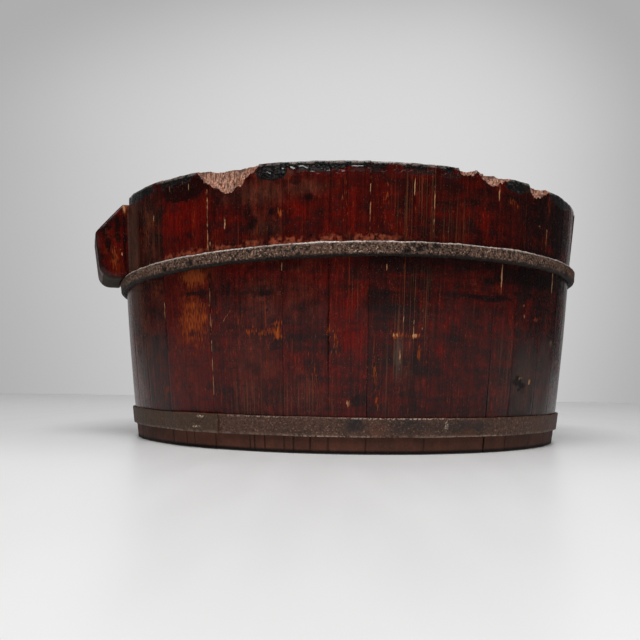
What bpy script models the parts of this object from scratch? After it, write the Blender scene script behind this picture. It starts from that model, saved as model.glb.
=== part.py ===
"""A coopered tub of lacquered wood.

Twenty-nine tapered staves stand in a ring and are pegged edge to edge. A forged iron hoop and a riveted
iron band draw them together. Two opposite staves are thicker above the hoop and carved into lugs to lift
the tub by. Five boards, doweled together, form the bottom and sit in a groove cut round the inside.

Metres, +Z up. The tub stands on z = 0 with its axis on Z. Angles run anticlockwise, seen from above,
from the front of the tub, which faces -Y.
"""

import math

import bmesh
import bpy
from mathutils import Matrix, Vector

# Wall
RIM_RADIUS = 0.225  # outside of the wall at the rim
BASE_RADIUS = 0.2036  # outside of the wall at the foot
HEIGHT = 0.220
BELLY = 0.0024  # how far the wall bows out at half height
WALL = 0.016
WORN_EDGE = 0.0015  # corner that wear has taken off the rim and the foot

# Staves, by their width along the rim; each row is spread evenly between the two handle staves
HANDLE_AZIMUTH = math.radians(-70.5)
HANDLE_WIDTH = 0.067
FRONT_WIDTHS = (
    0.035, 0.039, 0.055, 0.066, 0.037, 0.031, 0.050, 0.060, 0.028, 0.038, 0.035, 0.053, 0.055, 0.059,
)
BACK_WIDTHS = (0.047, 0.059, 0.039, 0.055, 0.035, 0.063, 0.043, 0.051, 0.059, 0.039, 0.055, 0.047, 0.049)
SPRUNG_STAVE = 13  # this one of the front staves has sprung out above the hoop
SPRUNG_OUT = 0.0045  # how far it stands out at the rim

# Lugs carved from the handle staves
HANDLE_DROP = 0.0065  # the handle staves stop this far below the rim
LUG_LEDGE = 0.0055  # flat top, outside the wall
LUG_REACH = 0.0275  # outside the wall, at the lug's side edges
LUG_CHAMFER = 0.0285  # height of the slope below the ledge
LUG_ROUND = 0.006  # lower outer edge
LUG_SIDE_ROUND = 0.003  # edges between the outer side and the two ends
LUG_HOLLOW = 0.004  # finger hollow in the underside

# Bamboo pegs between the staves
PEG_DIAMETER = 0.005
PEG_REACH = 0.010  # into the next stave
PEG_FROM_FOOT = 0.070
PEG_FROM_RIM = 0.045

# Upper hoop, a forged bar that has slipped out of level
HOOP_DROP = 0.064  # rim to the hoop's top edge, on average
HOOP_TILT = 0.0074  # higher on the right by this, lower on the left
HOOP_WAVE = 0.0025  # sags at the sides and rises at front and back
HOOP_HEIGHT = 0.0111
HOOP_THICKNESS = 0.0052
HOOP_FACE = ((0.0, 0.5), (0.14, 0.9), (0.5, 1.0), (0.86, 0.9), (1.0, 0.5))  # shares of height and thickness

# Lower band, a strip whose ends lap and are riveted
BAND_BOTTOM = 0.0133
BAND_HEIGHT = 0.0147
BAND_THICKNESS = 0.0024
BAND_LAP_END = math.radians(-27.5)  # where the outer end stops
BAND_LAP = 0.044
BAND_JOG = 0.020  # length over which the outer end steps out over the inner one
RIVET_DIAMETER = 0.0034
RIVET_HEAD = 0.0062
RIVET_HEAD_HEIGHT = 0.0011
RIVET_FLARE = 0.0008  # by which the tail spreads in its countersink
RIVET_PITCH = 0.0070  # between the two rivets, along the band and across it alike
RIVET_FROM_END = 0.021

# Bottom
BOTTOM_LEVEL = 0.016  # underside of the boards above the foot
BOARD_THICKNESS = 0.016
BOARD_TONGUE = 0.010  # thickness of the edge that enters the groove
BOARD_BEVEL = 0.012  # width of the slope between face and edge
GROOVE_DEPTH = 0.005
BOARD_WIDTHS = (0.071, 0.084, 0.090, 0.078, 0.069)  # front to back; spread evenly over the bottom
DOWEL_DIAMETER = 0.007
DOWEL_LENGTH = 0.036
DOWEL_SPREAD = 0.150  # between the two dowels of a joint

# Rim chips: azimuth in degrees, then half width, depth on the outside and bite into the rim
CHIPS = (
    (-24.5, 0.029, 0.021, 0.010),
    (25.0, 0.010, 0.006, 0.008),
    (32.0, 0.015, 0.010, 0.008),
    (45.5, 0.016, 0.011, 0.007),
)

# A joint that has dried open at the foot, between two of the front staves
OPEN_JOINT = 9  # the front stave on its right
OPEN_HEIGHT = 0.085
OPEN_WIDTH = 0.0016

# Fits and facets
GAP = 0.0003  # between pieces that touch
STAVE_STEP = math.radians(4.5)  # widest facet of a stave
RING_STEPS = 90  # facets of the hoop and the band
WALL_STEPS = 6  # facets of the wall's bow
DISC_STEPS = 96
PEG_SIDES = 6
DOWEL_SIDES = 12
CHIP_FACETS = 2  # subdivisions of the scoop that cuts a chip


def wall_radius(z):
    """Outside of the wall at height z: a straight taper with a slight bow."""
    share = z / HEIGHT
    return BASE_RADIUS + (RIM_RADIUS - BASE_RADIUS) * share + BELLY * 4 * share * (1 - share)


def inner_radius(z):
    return wall_radius(z) - WALL


def hoop_top(angle):
    """Height of the hoop's top edge at this angle."""
    return HEIGHT - HOOP_DROP + HOOP_TILT * math.sin(angle) + HOOP_WAVE * math.cos(2 * angle)


def around(radius, angle, z):
    return Vector((radius * math.sin(angle), -radius * math.cos(angle), z))


def principled(name, colour, roughness, metallic=0.0):
    material = bpy.data.materials.new(name)
    material.use_nodes = True
    shader = material.node_tree.nodes["Principled BSDF"]
    shader.inputs["Base Color"].default_value = (*colour, 1.0)
    shader.inputs["Roughness"].default_value = roughness
    shader.inputs["Metallic"].default_value = metallic
    return material


def add_object(name, mesh_data, material, parent):
    """An object made from a bmesh, which this frees."""
    bmesh.ops.recalc_face_normals(mesh_data, faces=mesh_data.faces)
    mesh = bpy.data.meshes.new(name)
    mesh_data.to_mesh(mesh)
    mesh_data.free()
    mesh.shade_smooth()
    mesh.set_sharp_from_angle(angle=math.radians(30))
    mesh.materials.append(material)
    made = bpy.data.objects.new(name, mesh)
    bpy.context.scene.collection.objects.link(made)
    made.parent = parent
    return made


def add_cutter(name, mesh_data, parent):
    cutter = add_object(name, mesh_data, None, parent)
    cutter.hide_render = True
    cutter.display_type = "WIRE"
    return cutter


def combine(target, tool, operation):
    modifier = target.modifiers.new(f"{operation.lower()} {tool.name}", "BOOLEAN")
    modifier.operation = operation
    modifier.solver = "EXACT"
    modifier.object = tool


def add_bar(mesh_data, start, end, radius, sides):
    """A level prism with closed ends between two points."""
    along = (end - start).normalized()
    up = Vector((0, 0, 1))
    turn = Matrix((up.cross(along), up, along)).transposed().to_4x4()
    bmesh.ops.create_cone(
        mesh_data,
        cap_ends=True,
        segments=sides,
        radius1=radius,
        radius2=radius,
        depth=(end - start).length,
        matrix=Matrix.Translation((start + end) / 2) @ turn,
    )


def spin_profile(profile, angle, steps, start):
    """A profile of (radius, z) points, swept round the tub's axis from the start angle."""
    mesh_data = bmesh.new()
    face = mesh_data.faces.new([mesh_data.verts.new(around(radius, start, z)) for radius, z in profile])
    bmesh.ops.spin(
        mesh_data,
        geom=[face, *face.edges, *face.verts],
        axis=(0, 0, 1),
        cent=(0, 0, 0),
        angle=angle,
        steps=steps,
    )
    return mesh_data


def loft(sections, closed):
    """A skin over sections with as many points each, joined end to end when closed and capped when not."""
    mesh_data = bmesh.new()
    rings = [[mesh_data.verts.new(point) for point in section] for section in sections]
    pairs = list(zip(rings, rings[1:]))
    if closed:
        pairs.append((rings[-1], rings[0]))
    else:
        mesh_data.faces.new(rings[0])
        mesh_data.faces.new(rings[-1])
    for ring, following in pairs:
        for i in range(len(ring)):
            mesh_data.faces.new((ring[i - 1], ring[i], following[i], following[i - 1]))
    return mesh_data


def groove_levels():
    """Bottom and top of the groove that holds the bottom boards."""
    return BOTTOM_LEVEL - GAP, BOTTOM_LEVEL + BOARD_TONGUE + GAP


def inner_outline(top):
    """Inside of a stave from its top to its foot, with the groove."""
    low, high = groove_levels()
    return [
        (inner_radius(top) + WORN_EDGE, top),
        (inner_radius(top - WORN_EDGE), top - WORN_EDGE),
        (inner_radius((top + high) / 2), (top + high) / 2),
        (inner_radius(high), high),
        (inner_radius(high) + GROOVE_DEPTH, high),
        (inner_radius(low) + GROOVE_DEPTH, low),
        (inner_radius(low), low),
        (inner_radius(WORN_EDGE), WORN_EDGE),
        (inner_radius(0) + WORN_EDGE, 0),
    ]


def wall_levels(top):
    return [WORN_EDGE + (top - WORN_EDGE) * i / WALL_STEPS for i in range(WALL_STEPS + 1)]


def stave_profile(sprung_out=0.0):
    """Section of a plain stave. A sprung one leans out from the hoop to the rim."""
    hoop_level = HEIGHT - HOOP_DROP + HOOP_TILT

    def outside(z):
        return wall_radius(z) + sprung_out * max(0.0, (z - hoop_level) / (HEIGHT - hoop_level))

    levels = wall_levels(HEIGHT - WORN_EDGE)
    if sprung_out:
        levels = sorted([*levels, hoop_level])
    outline = [(wall_radius(0) - WORN_EDGE, 0)]
    outline += [(outside(z), z) for z in levels]
    outline.append((outside(HEIGHT) - WORN_EDGE, HEIGHT))
    return outline + inner_outline(HEIGHT)


def handle_profile(lug_bottom):
    """Section of a handle stave, with its lug from just above the hoop to the flat top."""
    top = HEIGHT - HANDLE_DROP
    tall = top - lug_bottom
    rounding = min(LUG_ROUND, tall / 4)
    chamfer = min(LUG_CHAMFER, tall - 2 * rounding)
    face_low = lug_bottom + rounding
    face_high = top - chamfer
    outside = wall_radius(face_low) + LUG_REACH
    corner = rounding * (1 - math.sqrt(0.5))
    outline = [(wall_radius(0) - WORN_EDGE, 0)]
    outline += [(wall_radius(z), z) for z in wall_levels(lug_bottom + LUG_HOLLOW / 2)]
    outline += [
        (wall_radius(lug_bottom) + LUG_REACH / 2, lug_bottom + LUG_HOLLOW),
        (outside - 2 * rounding, lug_bottom),
        (outside - rounding, lug_bottom),
        (outside - corner, lug_bottom + corner),
        (outside, face_low),
        (wall_radius(face_high) + LUG_REACH, face_high),
        (wall_radius(top) + LUG_LEDGE, top),
    ]
    return outline + inner_outline(top)


def off_centre(vert):
    """Angle of a point from the middle of its stave."""
    return math.atan2(vert.co.x, -vert.co.y)


def shape_lug(mesh_data, half):
    """Plane the lug's outer side flat, so that only its two ends keep their full reach, and round those."""
    lug = {}
    for vert in mesh_data.verts:
        outside = math.hypot(vert.co.x, vert.co.y) - wall_radius(vert.co.z)
        if outside > LUG_LEDGE / 2:
            lug[vert] = outside
    for vert, outside in lug.items():
        planed = math.cos(half) / math.cos(off_centre(vert))
        vert.co.xy *= 1 + (planed - 1) * min(1.0, outside / LUG_REACH)
    ends = {vert for vert in lug if abs(abs(off_centre(vert)) - half) < GAP}
    bmesh.ops.bevel(
        mesh_data,
        geom=[edge for edge in mesh_data.edges if ends.issuperset(edge.verts)],
        offset=LUG_SIDE_ROUND,
        segments=2,
        profile=0.5,
        affect="EDGES",
        clamp_overlap=True,
    )


def stave_layout():
    """Name, centre angle and angular width of each stave, anticlockwise from the left handle."""
    handle = HANDLE_WIDTH / RIM_RADIUS
    rows = (
        ("handle_stave_left", "front_stave", FRONT_WIDTHS),
        ("handle_stave_right", "back_stave", BACK_WIDTHS),
    )
    layout = []
    edge = HANDLE_AZIMUTH - handle / 2
    for handle_name, row_name, widths in rows:
        layout.append((handle_name, edge + handle / 2, handle))
        edge += handle
        for number, width in enumerate(widths, 1):
            angle = (math.pi - handle) * width / sum(widths)
            layout.append((f"{row_name}_{number:02d}", edge + angle / 2, angle))
            edge += angle
    return layout


def peg_levels():
    return PEG_FROM_FOOT, HEIGHT - PEG_FROM_RIM


def add_pegs(mesh_data, edge, behind, ahead, radius):
    """Both pegs of the joint at this angle, reaching behind it and ahead of it."""
    along = Vector((math.cos(edge), math.sin(edge), 0))
    for z in peg_levels():
        centre = around(wall_radius(z) - WALL / 2, edge, z)
        add_bar(mesh_data, centre - along * behind, centre + along * ahead, radius, PEG_SIDES)


def add_stave(name, centre, angle, profile, wood, parent):
    """A stave with two pegs standing out of one edge, and holes for its neighbour's pegs in the other."""
    half = angle / 2 - GAP / 2 / inner_radius(0)
    steps = math.ceil(angle / STAVE_STEP)
    mesh_data = spin_profile(profile, 2 * half, steps, -half)
    if name.startswith("handle"):
        shape_lug(mesh_data, half)
    stave = add_object(name, mesh_data, wood, parent)
    stave.rotation_euler.z = centre

    peg_radius = PEG_DIAMETER / 2
    holes = bmesh.new()
    hole_radius = peg_radius + GAP / math.cos(math.pi / PEG_SIDES)
    add_pegs(holes, -angle / 2, PEG_DIAMETER, PEG_REACH + GAP, hole_radius)
    combine(stave, add_cutter(f"{name} peg holes", holes, stave), "DIFFERENCE")
    pegs = bmesh.new()
    add_pegs(pegs, angle / 2, PEG_DIAMETER, PEG_REACH, peg_radius)
    combine(stave, add_cutter(f"{name} pegs", pegs, stave), "UNION")
    return stave


def add_chip_cutters(parent):
    """Scoops that bite the rim from outside. Each is centred above the rim by half the depth it cuts."""
    cutters = []
    for number, (degrees, half_width, depth, bite) in enumerate(CHIPS, 1):
        scoop = bmesh.new()
        bmesh.ops.create_icosphere(scoop, subdivisions=CHIP_FACETS, radius=1.0)
        rise = depth / 2
        tall = depth + rise
        at_rim = math.sqrt(1 - (rise / tall) ** 2)
        bmesh.ops.scale(scoop, verts=scoop.verts, vec=(half_width / at_rim, bite / at_rim, tall))
        bmesh.ops.translate(scoop, verts=scoop.verts, vec=(0, -RIM_RADIUS, HEIGHT + rise))
        cutter = add_cutter(f"chip {number}", scoop, parent)
        cutter.rotation_euler.z = math.radians(degrees)
        cutters.append((cutter, math.radians(degrees), half_width / RIM_RADIUS))
    return cutters


def add_open_joint_cutter(edge, parent):
    """A wedge along a stave's edge, widest at the foot, right through the wall."""
    sections = []
    for radius in (inner_radius(0) - WALL, RIM_RADIUS + WALL):
        skew = GAP / radius
        sections.append([
            around(radius, -skew, -WALL),
            around(radius, OPEN_WIDTH * (1 + WALL / OPEN_HEIGHT) / radius, -WALL),
            around(radius, 0, OPEN_HEIGHT),
            around(radius, -skew, OPEN_HEIGHT),
        ])
    cutter = add_cutter("open joint", loft(sections, closed=False), parent)
    cutter.rotation_euler.z = edge
    return cutter


def add_staves(wood, parent):
    chips = add_chip_cutters(parent)
    for name, centre, angle in stave_layout():
        if name.startswith("handle"):
            edges = [centre + angle * share for share in (-0.5, -0.25, 0, 0.25, 0.5)]
            profile = handle_profile(max(hoop_top(edge) for edge in edges) + GAP)
        elif name == f"front_stave_{SPRUNG_STAVE:02d}":
            profile = stave_profile(SPRUNG_OUT)
        else:
            profile = stave_profile()
        stave = add_stave(name, centre, angle, profile, wood, parent)
        for cutter, azimuth, half_width in chips:
            if abs(azimuth - centre) < half_width + angle / 2:
                combine(stave, cutter, "DIFFERENCE")
        if name == f"front_stave_{OPEN_JOINT:02d}":
            combine(stave, add_open_joint_cutter(centre - angle / 2, parent), "DIFFERENCE")


def add_hoop(iron, parent):
    """A closed bar with a flat back against the wall and a face with hammered-round edges."""
    sections = []
    for i in range(RING_STEPS):
        angle = 2 * math.pi * i / RING_STEPS
        low = hoop_top(angle) - HOOP_HEIGHT
        section = []
        for up, out in HOOP_FACE:
            z = low + HOOP_HEIGHT * up
            section.append(around(hoop_back(z) + HOOP_THICKNESS * out, angle, z))
        section.append(around(hoop_back(low + HOOP_HEIGHT), angle, low + HOOP_HEIGHT))
        section.append(around(hoop_back(low), angle, low))
        sections.append(section)
    add_object("upper_hoop", loft(sections, closed=True), iron, parent)


def hoop_back(z):
    """Radius that clears the wall at height z, allowing for flat facets."""
    return wall_radius(z) / math.cos(math.pi / RING_STEPS) + GAP


def band_angle(length):
    return length / hoop_back(BAND_BOTTOM)


def band_outset(angle):
    """How far the strip is lifted off the wall at this angle, counted from its inner end."""
    jog_start = 2 * math.pi - band_angle(BAND_JOG)
    share = min(1.0, max(0.0, (angle - jog_start) / band_angle(BAND_JOG)))
    return (BAND_THICKNESS + GAP) * share


def add_band(iron, parent):
    """A strip that goes once round the foot and laps over its own inner end."""
    lap = band_angle(BAND_LAP)
    jog = band_angle(BAND_JOG)
    inner_end = BAND_LAP_END - lap
    facet = 2 * math.pi / RING_STEPS
    stretches = ((0, 2 * math.pi - jog), (2 * math.pi - jog, 2 * math.pi), (2 * math.pi, 2 * math.pi + lap))
    angles = [0]
    for start, end in stretches:
        steps = math.ceil((end - start) / facet)
        angles += [start + (end - start) * i / steps for i in range(1, steps + 1)]
    levels = (BAND_BOTTOM, BAND_BOTTOM + BAND_HEIGHT)
    sections = []
    for angle in angles:
        inside = [hoop_back(z) + band_outset(angle) for z in levels]
        corners = (
            (inside[0], levels[0]),
            (inside[0] + BAND_THICKNESS, levels[0]),
            (inside[1] + BAND_THICKNESS, levels[1]),
            (inside[1], levels[1]),
        )
        sections.append([around(radius, inner_end + angle, z) for radius, z in corners])
    return add_object("lower_band", loft(sections, closed=False), iron, parent)


def turned(profile, sides):
    """A solid turned about Z from (radius, z) points that start and end on the axis."""
    mesh_data = bmesh.new()
    points = [mesh_data.verts.new((radius, 0, z)) for radius, z in profile]
    edges = [mesh_data.edges.new(pair) for pair in zip(points, points[1:])]
    bmesh.ops.spin(
        mesh_data,
        geom=[*points, *edges],
        axis=(0, 0, 1),
        cent=(0, 0, 0),
        angle=2 * math.pi,
        steps=sides,
        use_merge=True,
    )
    bmesh.ops.remove_doubles(mesh_data, verts=mesh_data.verts, dist=GAP / 100)
    return mesh_data


def add_rivets(iron, band, parent):
    """Two rivets on a slant through both layers of the lap, their tails flush in the inner one."""
    stack = 2 * BAND_THICKNESS + GAP
    seat = stack + GAP
    shank = RIVET_DIAMETER / 2
    head = RIVET_HEAD / 2
    lean = math.atan2(hoop_back(BAND_BOTTOM + BAND_HEIGHT) - hoop_back(BAND_BOTTOM), BAND_HEIGHT)
    rivet_outline = [
        (0, 0),
        (shank + RIVET_FLARE, 0),
        (shank, BAND_THICKNESS / 2),
        (shank, seat),
        (head, seat),
        (head * math.sqrt(0.5), seat + RIVET_HEAD_HEIGHT * math.sqrt(0.5)),
        (0, seat + RIVET_HEAD_HEIGHT),
    ]
    hole_outline = [
        (0, -BAND_THICKNESS),
        (shank + RIVET_FLARE + GAP, -BAND_THICKNESS),
        (shank + RIVET_FLARE + GAP, 0),
        (shank + GAP, BAND_THICKNESS / 2),
        (shank + GAP, stack + BAND_THICKNESS),
        (0, stack + BAND_THICKNESS),
    ]
    for number, side in enumerate((-0.5, 0.5), 1):
        z = BAND_BOTTOM + BAND_HEIGHT / 2 + side * RIVET_PITCH
        angle = BAND_LAP_END - band_angle(RIVET_FROM_END - side * RIVET_PITCH)
        place = Matrix.Rotation(angle, 4, "Z") @ Matrix.Translation((0, -hoop_back(z), z))
        outward = place @ Matrix.Rotation(math.radians(90) + lean, 4, "X")
        rivet = add_object(f"band_rivet_{number}", turned(rivet_outline, DOWEL_SIDES), iron, parent)
        rivet.matrix_local = outward
        cutter = add_cutter(f"rivet hole {number}", turned(hole_outline, DOWEL_SIDES), parent)
        cutter.matrix_local = outward
        combine(band, cutter, "DIFFERENCE")


def bottom_profile():
    """Half section of the bottom: flat below, with its edge thinned on top to fit the groove."""
    facet = math.cos(STAVE_STEP / 2)
    low, high = groove_levels()
    edge = (inner_radius(low) + GROOVE_DEPTH) * facet - GAP
    shoulder = inner_radius(high) * facet - GAP
    tongue_top = BOTTOM_LEVEL + BOARD_TONGUE
    top = BOTTOM_LEVEL + BOARD_THICKNESS
    return [(0, BOTTOM_LEVEL), (edge, BOTTOM_LEVEL), (edge, tongue_top), (shoulder, tongue_top),
            (shoulder - BOARD_BEVEL, top), (0, top)]


def keep_between(mesh_data, low, high):
    """Saw the disc down to the strip between two planes across Y."""
    for y, normal in ((low, (0, -1, 0)), (high, (0, 1, 0))):
        cut = bmesh.ops.bisect_plane(
            mesh_data,
            geom=[*mesh_data.verts, *mesh_data.edges, *mesh_data.faces],
            dist=GAP / 1000,
            plane_co=(0, y, 0),
            plane_no=normal,
            clear_outer=True,
        )
        edges = [item for item in cut["geom_cut"] if isinstance(item, bmesh.types.BMEdge)]
        if edges:
            bmesh.ops.contextual_create(mesh_data, geom=edges)


def add_bottom(wood, bamboo, parent):
    """Boards sawn from one disc, with dowels across their joints."""
    radius = bottom_profile()[1][0]
    edges = [-radius]
    for width in BOARD_WIDTHS:
        edges.append(edges[-1] + 2 * radius * width / sum(BOARD_WIDTHS))
    outer = (edges[0] - WALL, edges[-1] + WALL)
    boards = []
    for number, (low, high) in enumerate(zip(edges, edges[1:]), 1):
        disc = turned(bottom_profile(), DISC_STEPS)
        low = outer[0] if number == 1 else low + GAP / 2
        high = outer[1] if number == len(BOARD_WIDTHS) else high - GAP / 2
        keep_between(disc, low, high)
        boards.append(add_object(f"bottom_board_{number}", disc, wood, parent))

    z = BOTTOM_LEVEL + BOARD_THICKNESS / 2
    number = 0
    for joint, y in enumerate(edges[1:-1]):
        for side in (-0.5, 0.5):
            number += 1
            centre = Vector((side * DOWEL_SPREAD, y, z))
            half = Vector((0, DOWEL_LENGTH / 2, 0))
            dowel = bmesh.new()
            add_bar(dowel, centre - half, centre + half, DOWEL_DIAMETER / 2, DOWEL_SIDES)
            add_object(f"bottom_dowel_{number}", dowel, bamboo, parent)
            hole = bmesh.new()
            room = Vector((0, GAP, 0))
            wide = DOWEL_DIAMETER / 2 + GAP / math.cos(math.pi / DOWEL_SIDES)
            add_bar(hole, centre - half - room, centre + half + room, wide, DOWEL_SIDES)
            cutter = add_cutter(f"dowel hole {number}", hole, parent)
            combine(boards[joint], cutter, "DIFFERENCE")
            combine(boards[joint + 1], cutter, "DIFFERENCE")


def main():
    for item in list(bpy.data.objects):
        bpy.data.objects.remove(item)
    tub = bpy.data.objects.new("tub", None)
    bpy.context.scene.collection.objects.link(tub)

    lacquered_wood = principled("lacquered wood", (0.085, 0.016, 0.010), 0.28)
    bare_wood = principled("bare wood", (0.16, 0.085, 0.045), 0.65)
    bamboo = principled("bamboo", (0.42, 0.29, 0.14), 0.6)
    forged_iron = principled("forged iron", (0.075, 0.056, 0.045), 0.62, 0.6)
    strip_iron = principled("strip iron", (0.060, 0.042, 0.034), 0.55, 0.6)

    add_staves(lacquered_wood, tub)
    add_hoop(forged_iron, tub)
    band = add_band(strip_iron, tub)
    add_rivets(strip_iron, band, tub)
    add_bottom(bare_wood, bamboo, tub)


main()
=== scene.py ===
# %% [markdown]
# # A lacquered tub, dressed over its CAD frame
# The tub is a ring of tapered staves, drawn together by a forged hoop and a riveted strip, with boards let
# into a groove for a bottom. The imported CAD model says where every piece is. This lesson builds a worn,
# finely meshed piece in the place of each one that can be seen, and then mixes the finishes.

# %% Load the frame
import math

import bpy
import numpy as np
from mathutils import Matrix, Vector


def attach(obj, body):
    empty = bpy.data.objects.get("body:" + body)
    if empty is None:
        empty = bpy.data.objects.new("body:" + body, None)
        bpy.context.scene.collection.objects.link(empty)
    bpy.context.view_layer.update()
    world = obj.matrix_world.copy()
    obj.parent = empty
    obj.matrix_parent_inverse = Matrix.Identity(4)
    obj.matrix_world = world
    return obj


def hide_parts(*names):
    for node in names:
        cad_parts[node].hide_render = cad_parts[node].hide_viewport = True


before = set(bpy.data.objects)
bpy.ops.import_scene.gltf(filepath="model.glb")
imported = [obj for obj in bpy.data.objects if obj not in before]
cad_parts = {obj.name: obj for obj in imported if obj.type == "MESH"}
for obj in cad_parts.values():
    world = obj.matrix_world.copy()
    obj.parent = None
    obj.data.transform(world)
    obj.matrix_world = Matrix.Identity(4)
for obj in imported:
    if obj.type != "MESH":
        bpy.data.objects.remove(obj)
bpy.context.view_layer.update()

# %% [markdown]
# ## The wall
# The wall is a cone with a slight bow. A stave could be modelled straight in its place, but wood is easier
# to work flat: x runs along the wall, y goes in from the outside and z goes up. One function then sets a
# flat piece in the ring, as a cooper does, so wear and grain can be made along straight lines first.

# %% Shape of the wall
# Lengths are in metres and angles in radians, unless a comment says otherwise.
RIM_RADIUS = 0.225
BASE_RADIUS = 0.2036
HEIGHT = 0.220
BELLY = 0.0024
WALL = 0.016
JOINT_GAP = 0.00006
SEAT = 0.0002
HOOP_DROP = 0.064
HOOP_TILT = 0.0074
HOOP_WAVE = 0.0025
BULGE = 0.0014
BULGE_AT = math.radians(75)
BULGE_REACH = math.radians(20)
FULL_TURN = 2 * math.pi


def wall_radius(z):
    """Outside of the wall at height z."""
    share = z / HEIGHT
    return BASE_RADIUS + (RIM_RADIUS - BASE_RADIUS) * share + 4 * BELLY * share * (1 - share)


def hoop_top(angle):
    """Height of the upper hoop's top edge, which is low at the left and high at the right."""
    return HEIGHT - HOOP_DROP + HOOP_TILT * np.sin(angle) + HOOP_WAVE * np.cos(2 * angle)


def around(radius, angle, z):
    """Points on the ring: the front of the tub faces -Y, and angles run anticlockwise from there."""
    past_bulge = (angle - BULGE_AT + math.pi) % FULL_TURN - math.pi
    radius = radius + BULGE * np.exp(-(past_bulge / BULGE_REACH) ** 2)
    return np.column_stack((radius * np.sin(angle), -radius * np.cos(angle), z))


print("wall radius at foot, middle and rim:", [round(wall_radius(z), 4) for z in (0, HEIGHT / 2, HEIGHT)])

# %% [markdown]
# ## Working by hand, in code
# An operator acts on whatever is selected, so each helper selects edges or faces by their place first. Loop
# cuts need a window, so rows are cut by subdividing all the edges that run one way, which gives the same
# mesh.

# %% Helpers for edit mode
# Least share of an edge, and of a face's normal, along an axis that it is said to run along or to face.
STRAIGHT = 0.9
FACING = 0.9
# An edge is cut where it is longer than this many spacings, with at most so many cuts at a time.
TOO_LONG = 1.6
MOST_CUTS = 100


def points_of(piece):
    flat = np.empty(len(piece.data.vertices) * 3, np.float32)
    piece.data.vertices.foreach_get("co", flat)
    return flat.reshape(-1, 3).astype(float)


def move_points(piece, points):
    piece.data.vertices.foreach_set("co", points.astype(np.float32).ravel())
    piece.data.update()


def block(name, low, high):
    """A cube stretched between two corners, with its place in its mesh."""
    low, high = Vector(low), Vector(high)
    bpy.ops.object.select_all(action="DESELECT")
    bpy.ops.mesh.primitive_cube_add(size=1, location=(low + high) / 2, scale=high - low)
    bpy.ops.object.transform_apply(location=True, rotation=True, scale=True)
    piece = bpy.context.object
    piece.name = name
    return piece


def choose(piece):
    """Select one piece and nothing else."""
    bpy.ops.object.select_all(action="DESELECT")
    piece.select_set(True)
    bpy.context.view_layer.objects.active = piece


def edit(piece, kind):
    """Enter edit mode on one piece with nothing selected."""
    choose(piece)
    bpy.ops.object.mode_set(mode="EDIT")
    bpy.ops.mesh.select_mode(type=kind)
    bpy.ops.mesh.select_all(action="DESELECT")


def done():
    bpy.ops.object.mode_set(mode="OBJECT")


def pick_edges(piece, wanted):
    """Select the edges whose two ends, given as arrays of points, are wanted."""
    edit(piece, "EDGE")
    done()
    ends = np.empty(len(piece.data.edges) * 2, np.int32)
    piece.data.edges.foreach_get("vertices", ends)
    ends = points_of(piece)[ends.reshape(-1, 2)]
    piece.data.edges.foreach_set("select", wanted(ends[:, 0], ends[:, 1]))
    bpy.ops.object.mode_set(mode="EDIT")


def pick_faces(piece, wanted):
    """Select the faces whose centre and normal are wanted."""
    edit(piece, "FACE")
    done()
    for face in piece.data.polygons:
        face.select = wanted(face.center, face.normal)
    bpy.ops.object.mode_set(mode="EDIT")


def round_edges(piece, wanted, width, segments):
    pick_edges(piece, wanted)
    bpy.ops.mesh.bevel(offset=width, segments=segments, affect="EDGES", clamp_overlap=False)
    done()


def runs_along(start, end, axis):
    """The edges that run along one axis."""
    step = np.abs(end - start)
    return step[:, axis] > STRAIGHT * step.sum(1)


def cut_rows(piece, axis, spacing):
    """Cut the edges that run along one axis into lengths near the spacing, longest edges first."""
    while True:
        found = {}

        def lengths(start, end):
            length = np.abs(end - start)[:, axis]
            runs = runs_along(start, end, axis) & (length > TOO_LONG * spacing)
            cuts = np.where(runs, np.minimum(np.round(length / spacing) - 1, MOST_CUTS), 0)
            found["cuts"] = int(cuts.max())
            return (cuts == found["cuts"]) & runs

        pick_edges(piece, lengths)
        if found["cuts"] < 1:
            done()
            return
        bpy.ops.mesh.subdivide(number_cuts=found["cuts"])
        done()


def slice_at(piece, place, direction):
    """Cut all the way through the piece along a plane, and keep both sides."""
    edit(piece, "FACE")
    bpy.ops.mesh.select_all(action="SELECT")
    bpy.ops.mesh.bisect(plane_co=place, plane_no=direction)
    done()


def apply(piece, kind, **settings):
    """Add a modifier, set it and apply it."""
    choose(piece)
    modifier = piece.modifiers.new(kind.lower(), kind)
    for name, value in settings.items():
        setattr(modifier, name, value)
    bpy.ops.object.modifier_apply(modifier=modifier.name)


print("helpers ready")

# %% [markdown]
# ## Rough surfaces
# Old wood and forged iron are never flat. A Displace modifier with a cloud texture makes the hollows, and an
# empty that the texture takes its coordinates from stretches them along the grain and shifts them from piece
# to piece. Sculpting would do it too, but not the same way on each run.

# %% Roughening
CLOUD_DETAIL = 3
SHIFT_STEPS = (0.731, 0.417, 0.553)

bpy.ops.object.empty_add()
grain_guide = bpy.context.object
grain_guide.name = "grain_guide"


def roughen(piece, size, depth, stretch=(1, 1, 1), shift=0.0, middle=0.5, direction="NORMAL", where=None):
    """Displace a piece by noise of this size and depth. The optional weights say where."""
    texture = bpy.data.textures.new("roughness", "CLOUDS")
    texture.noise_scale = size
    texture.noise_depth = CLOUD_DETAIL
    grain_guide.scale = stretch
    grain_guide.location = [shift * step for step in SHIFT_STEPS]
    bpy.context.view_layer.update()
    settings = {"texture": texture, "texture_coords": "OBJECT", "texture_coords_object": grain_guide}
    if where is not None:
        group = piece.vertex_groups.new(name="where")
        where = np.round(where, 2)
        for level in np.unique(where):
            group.add([int(i) for i in np.flatnonzero(where == level)], float(level), "REPLACE")
        settings["vertex_group"] = "where"
    apply(piece, "DISPLACE", strength=depth, mid_level=middle, direction=direction, **settings)
    if where is not None:
        piece.vertex_groups.clear()
    bpy.data.textures.remove(texture)


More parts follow.
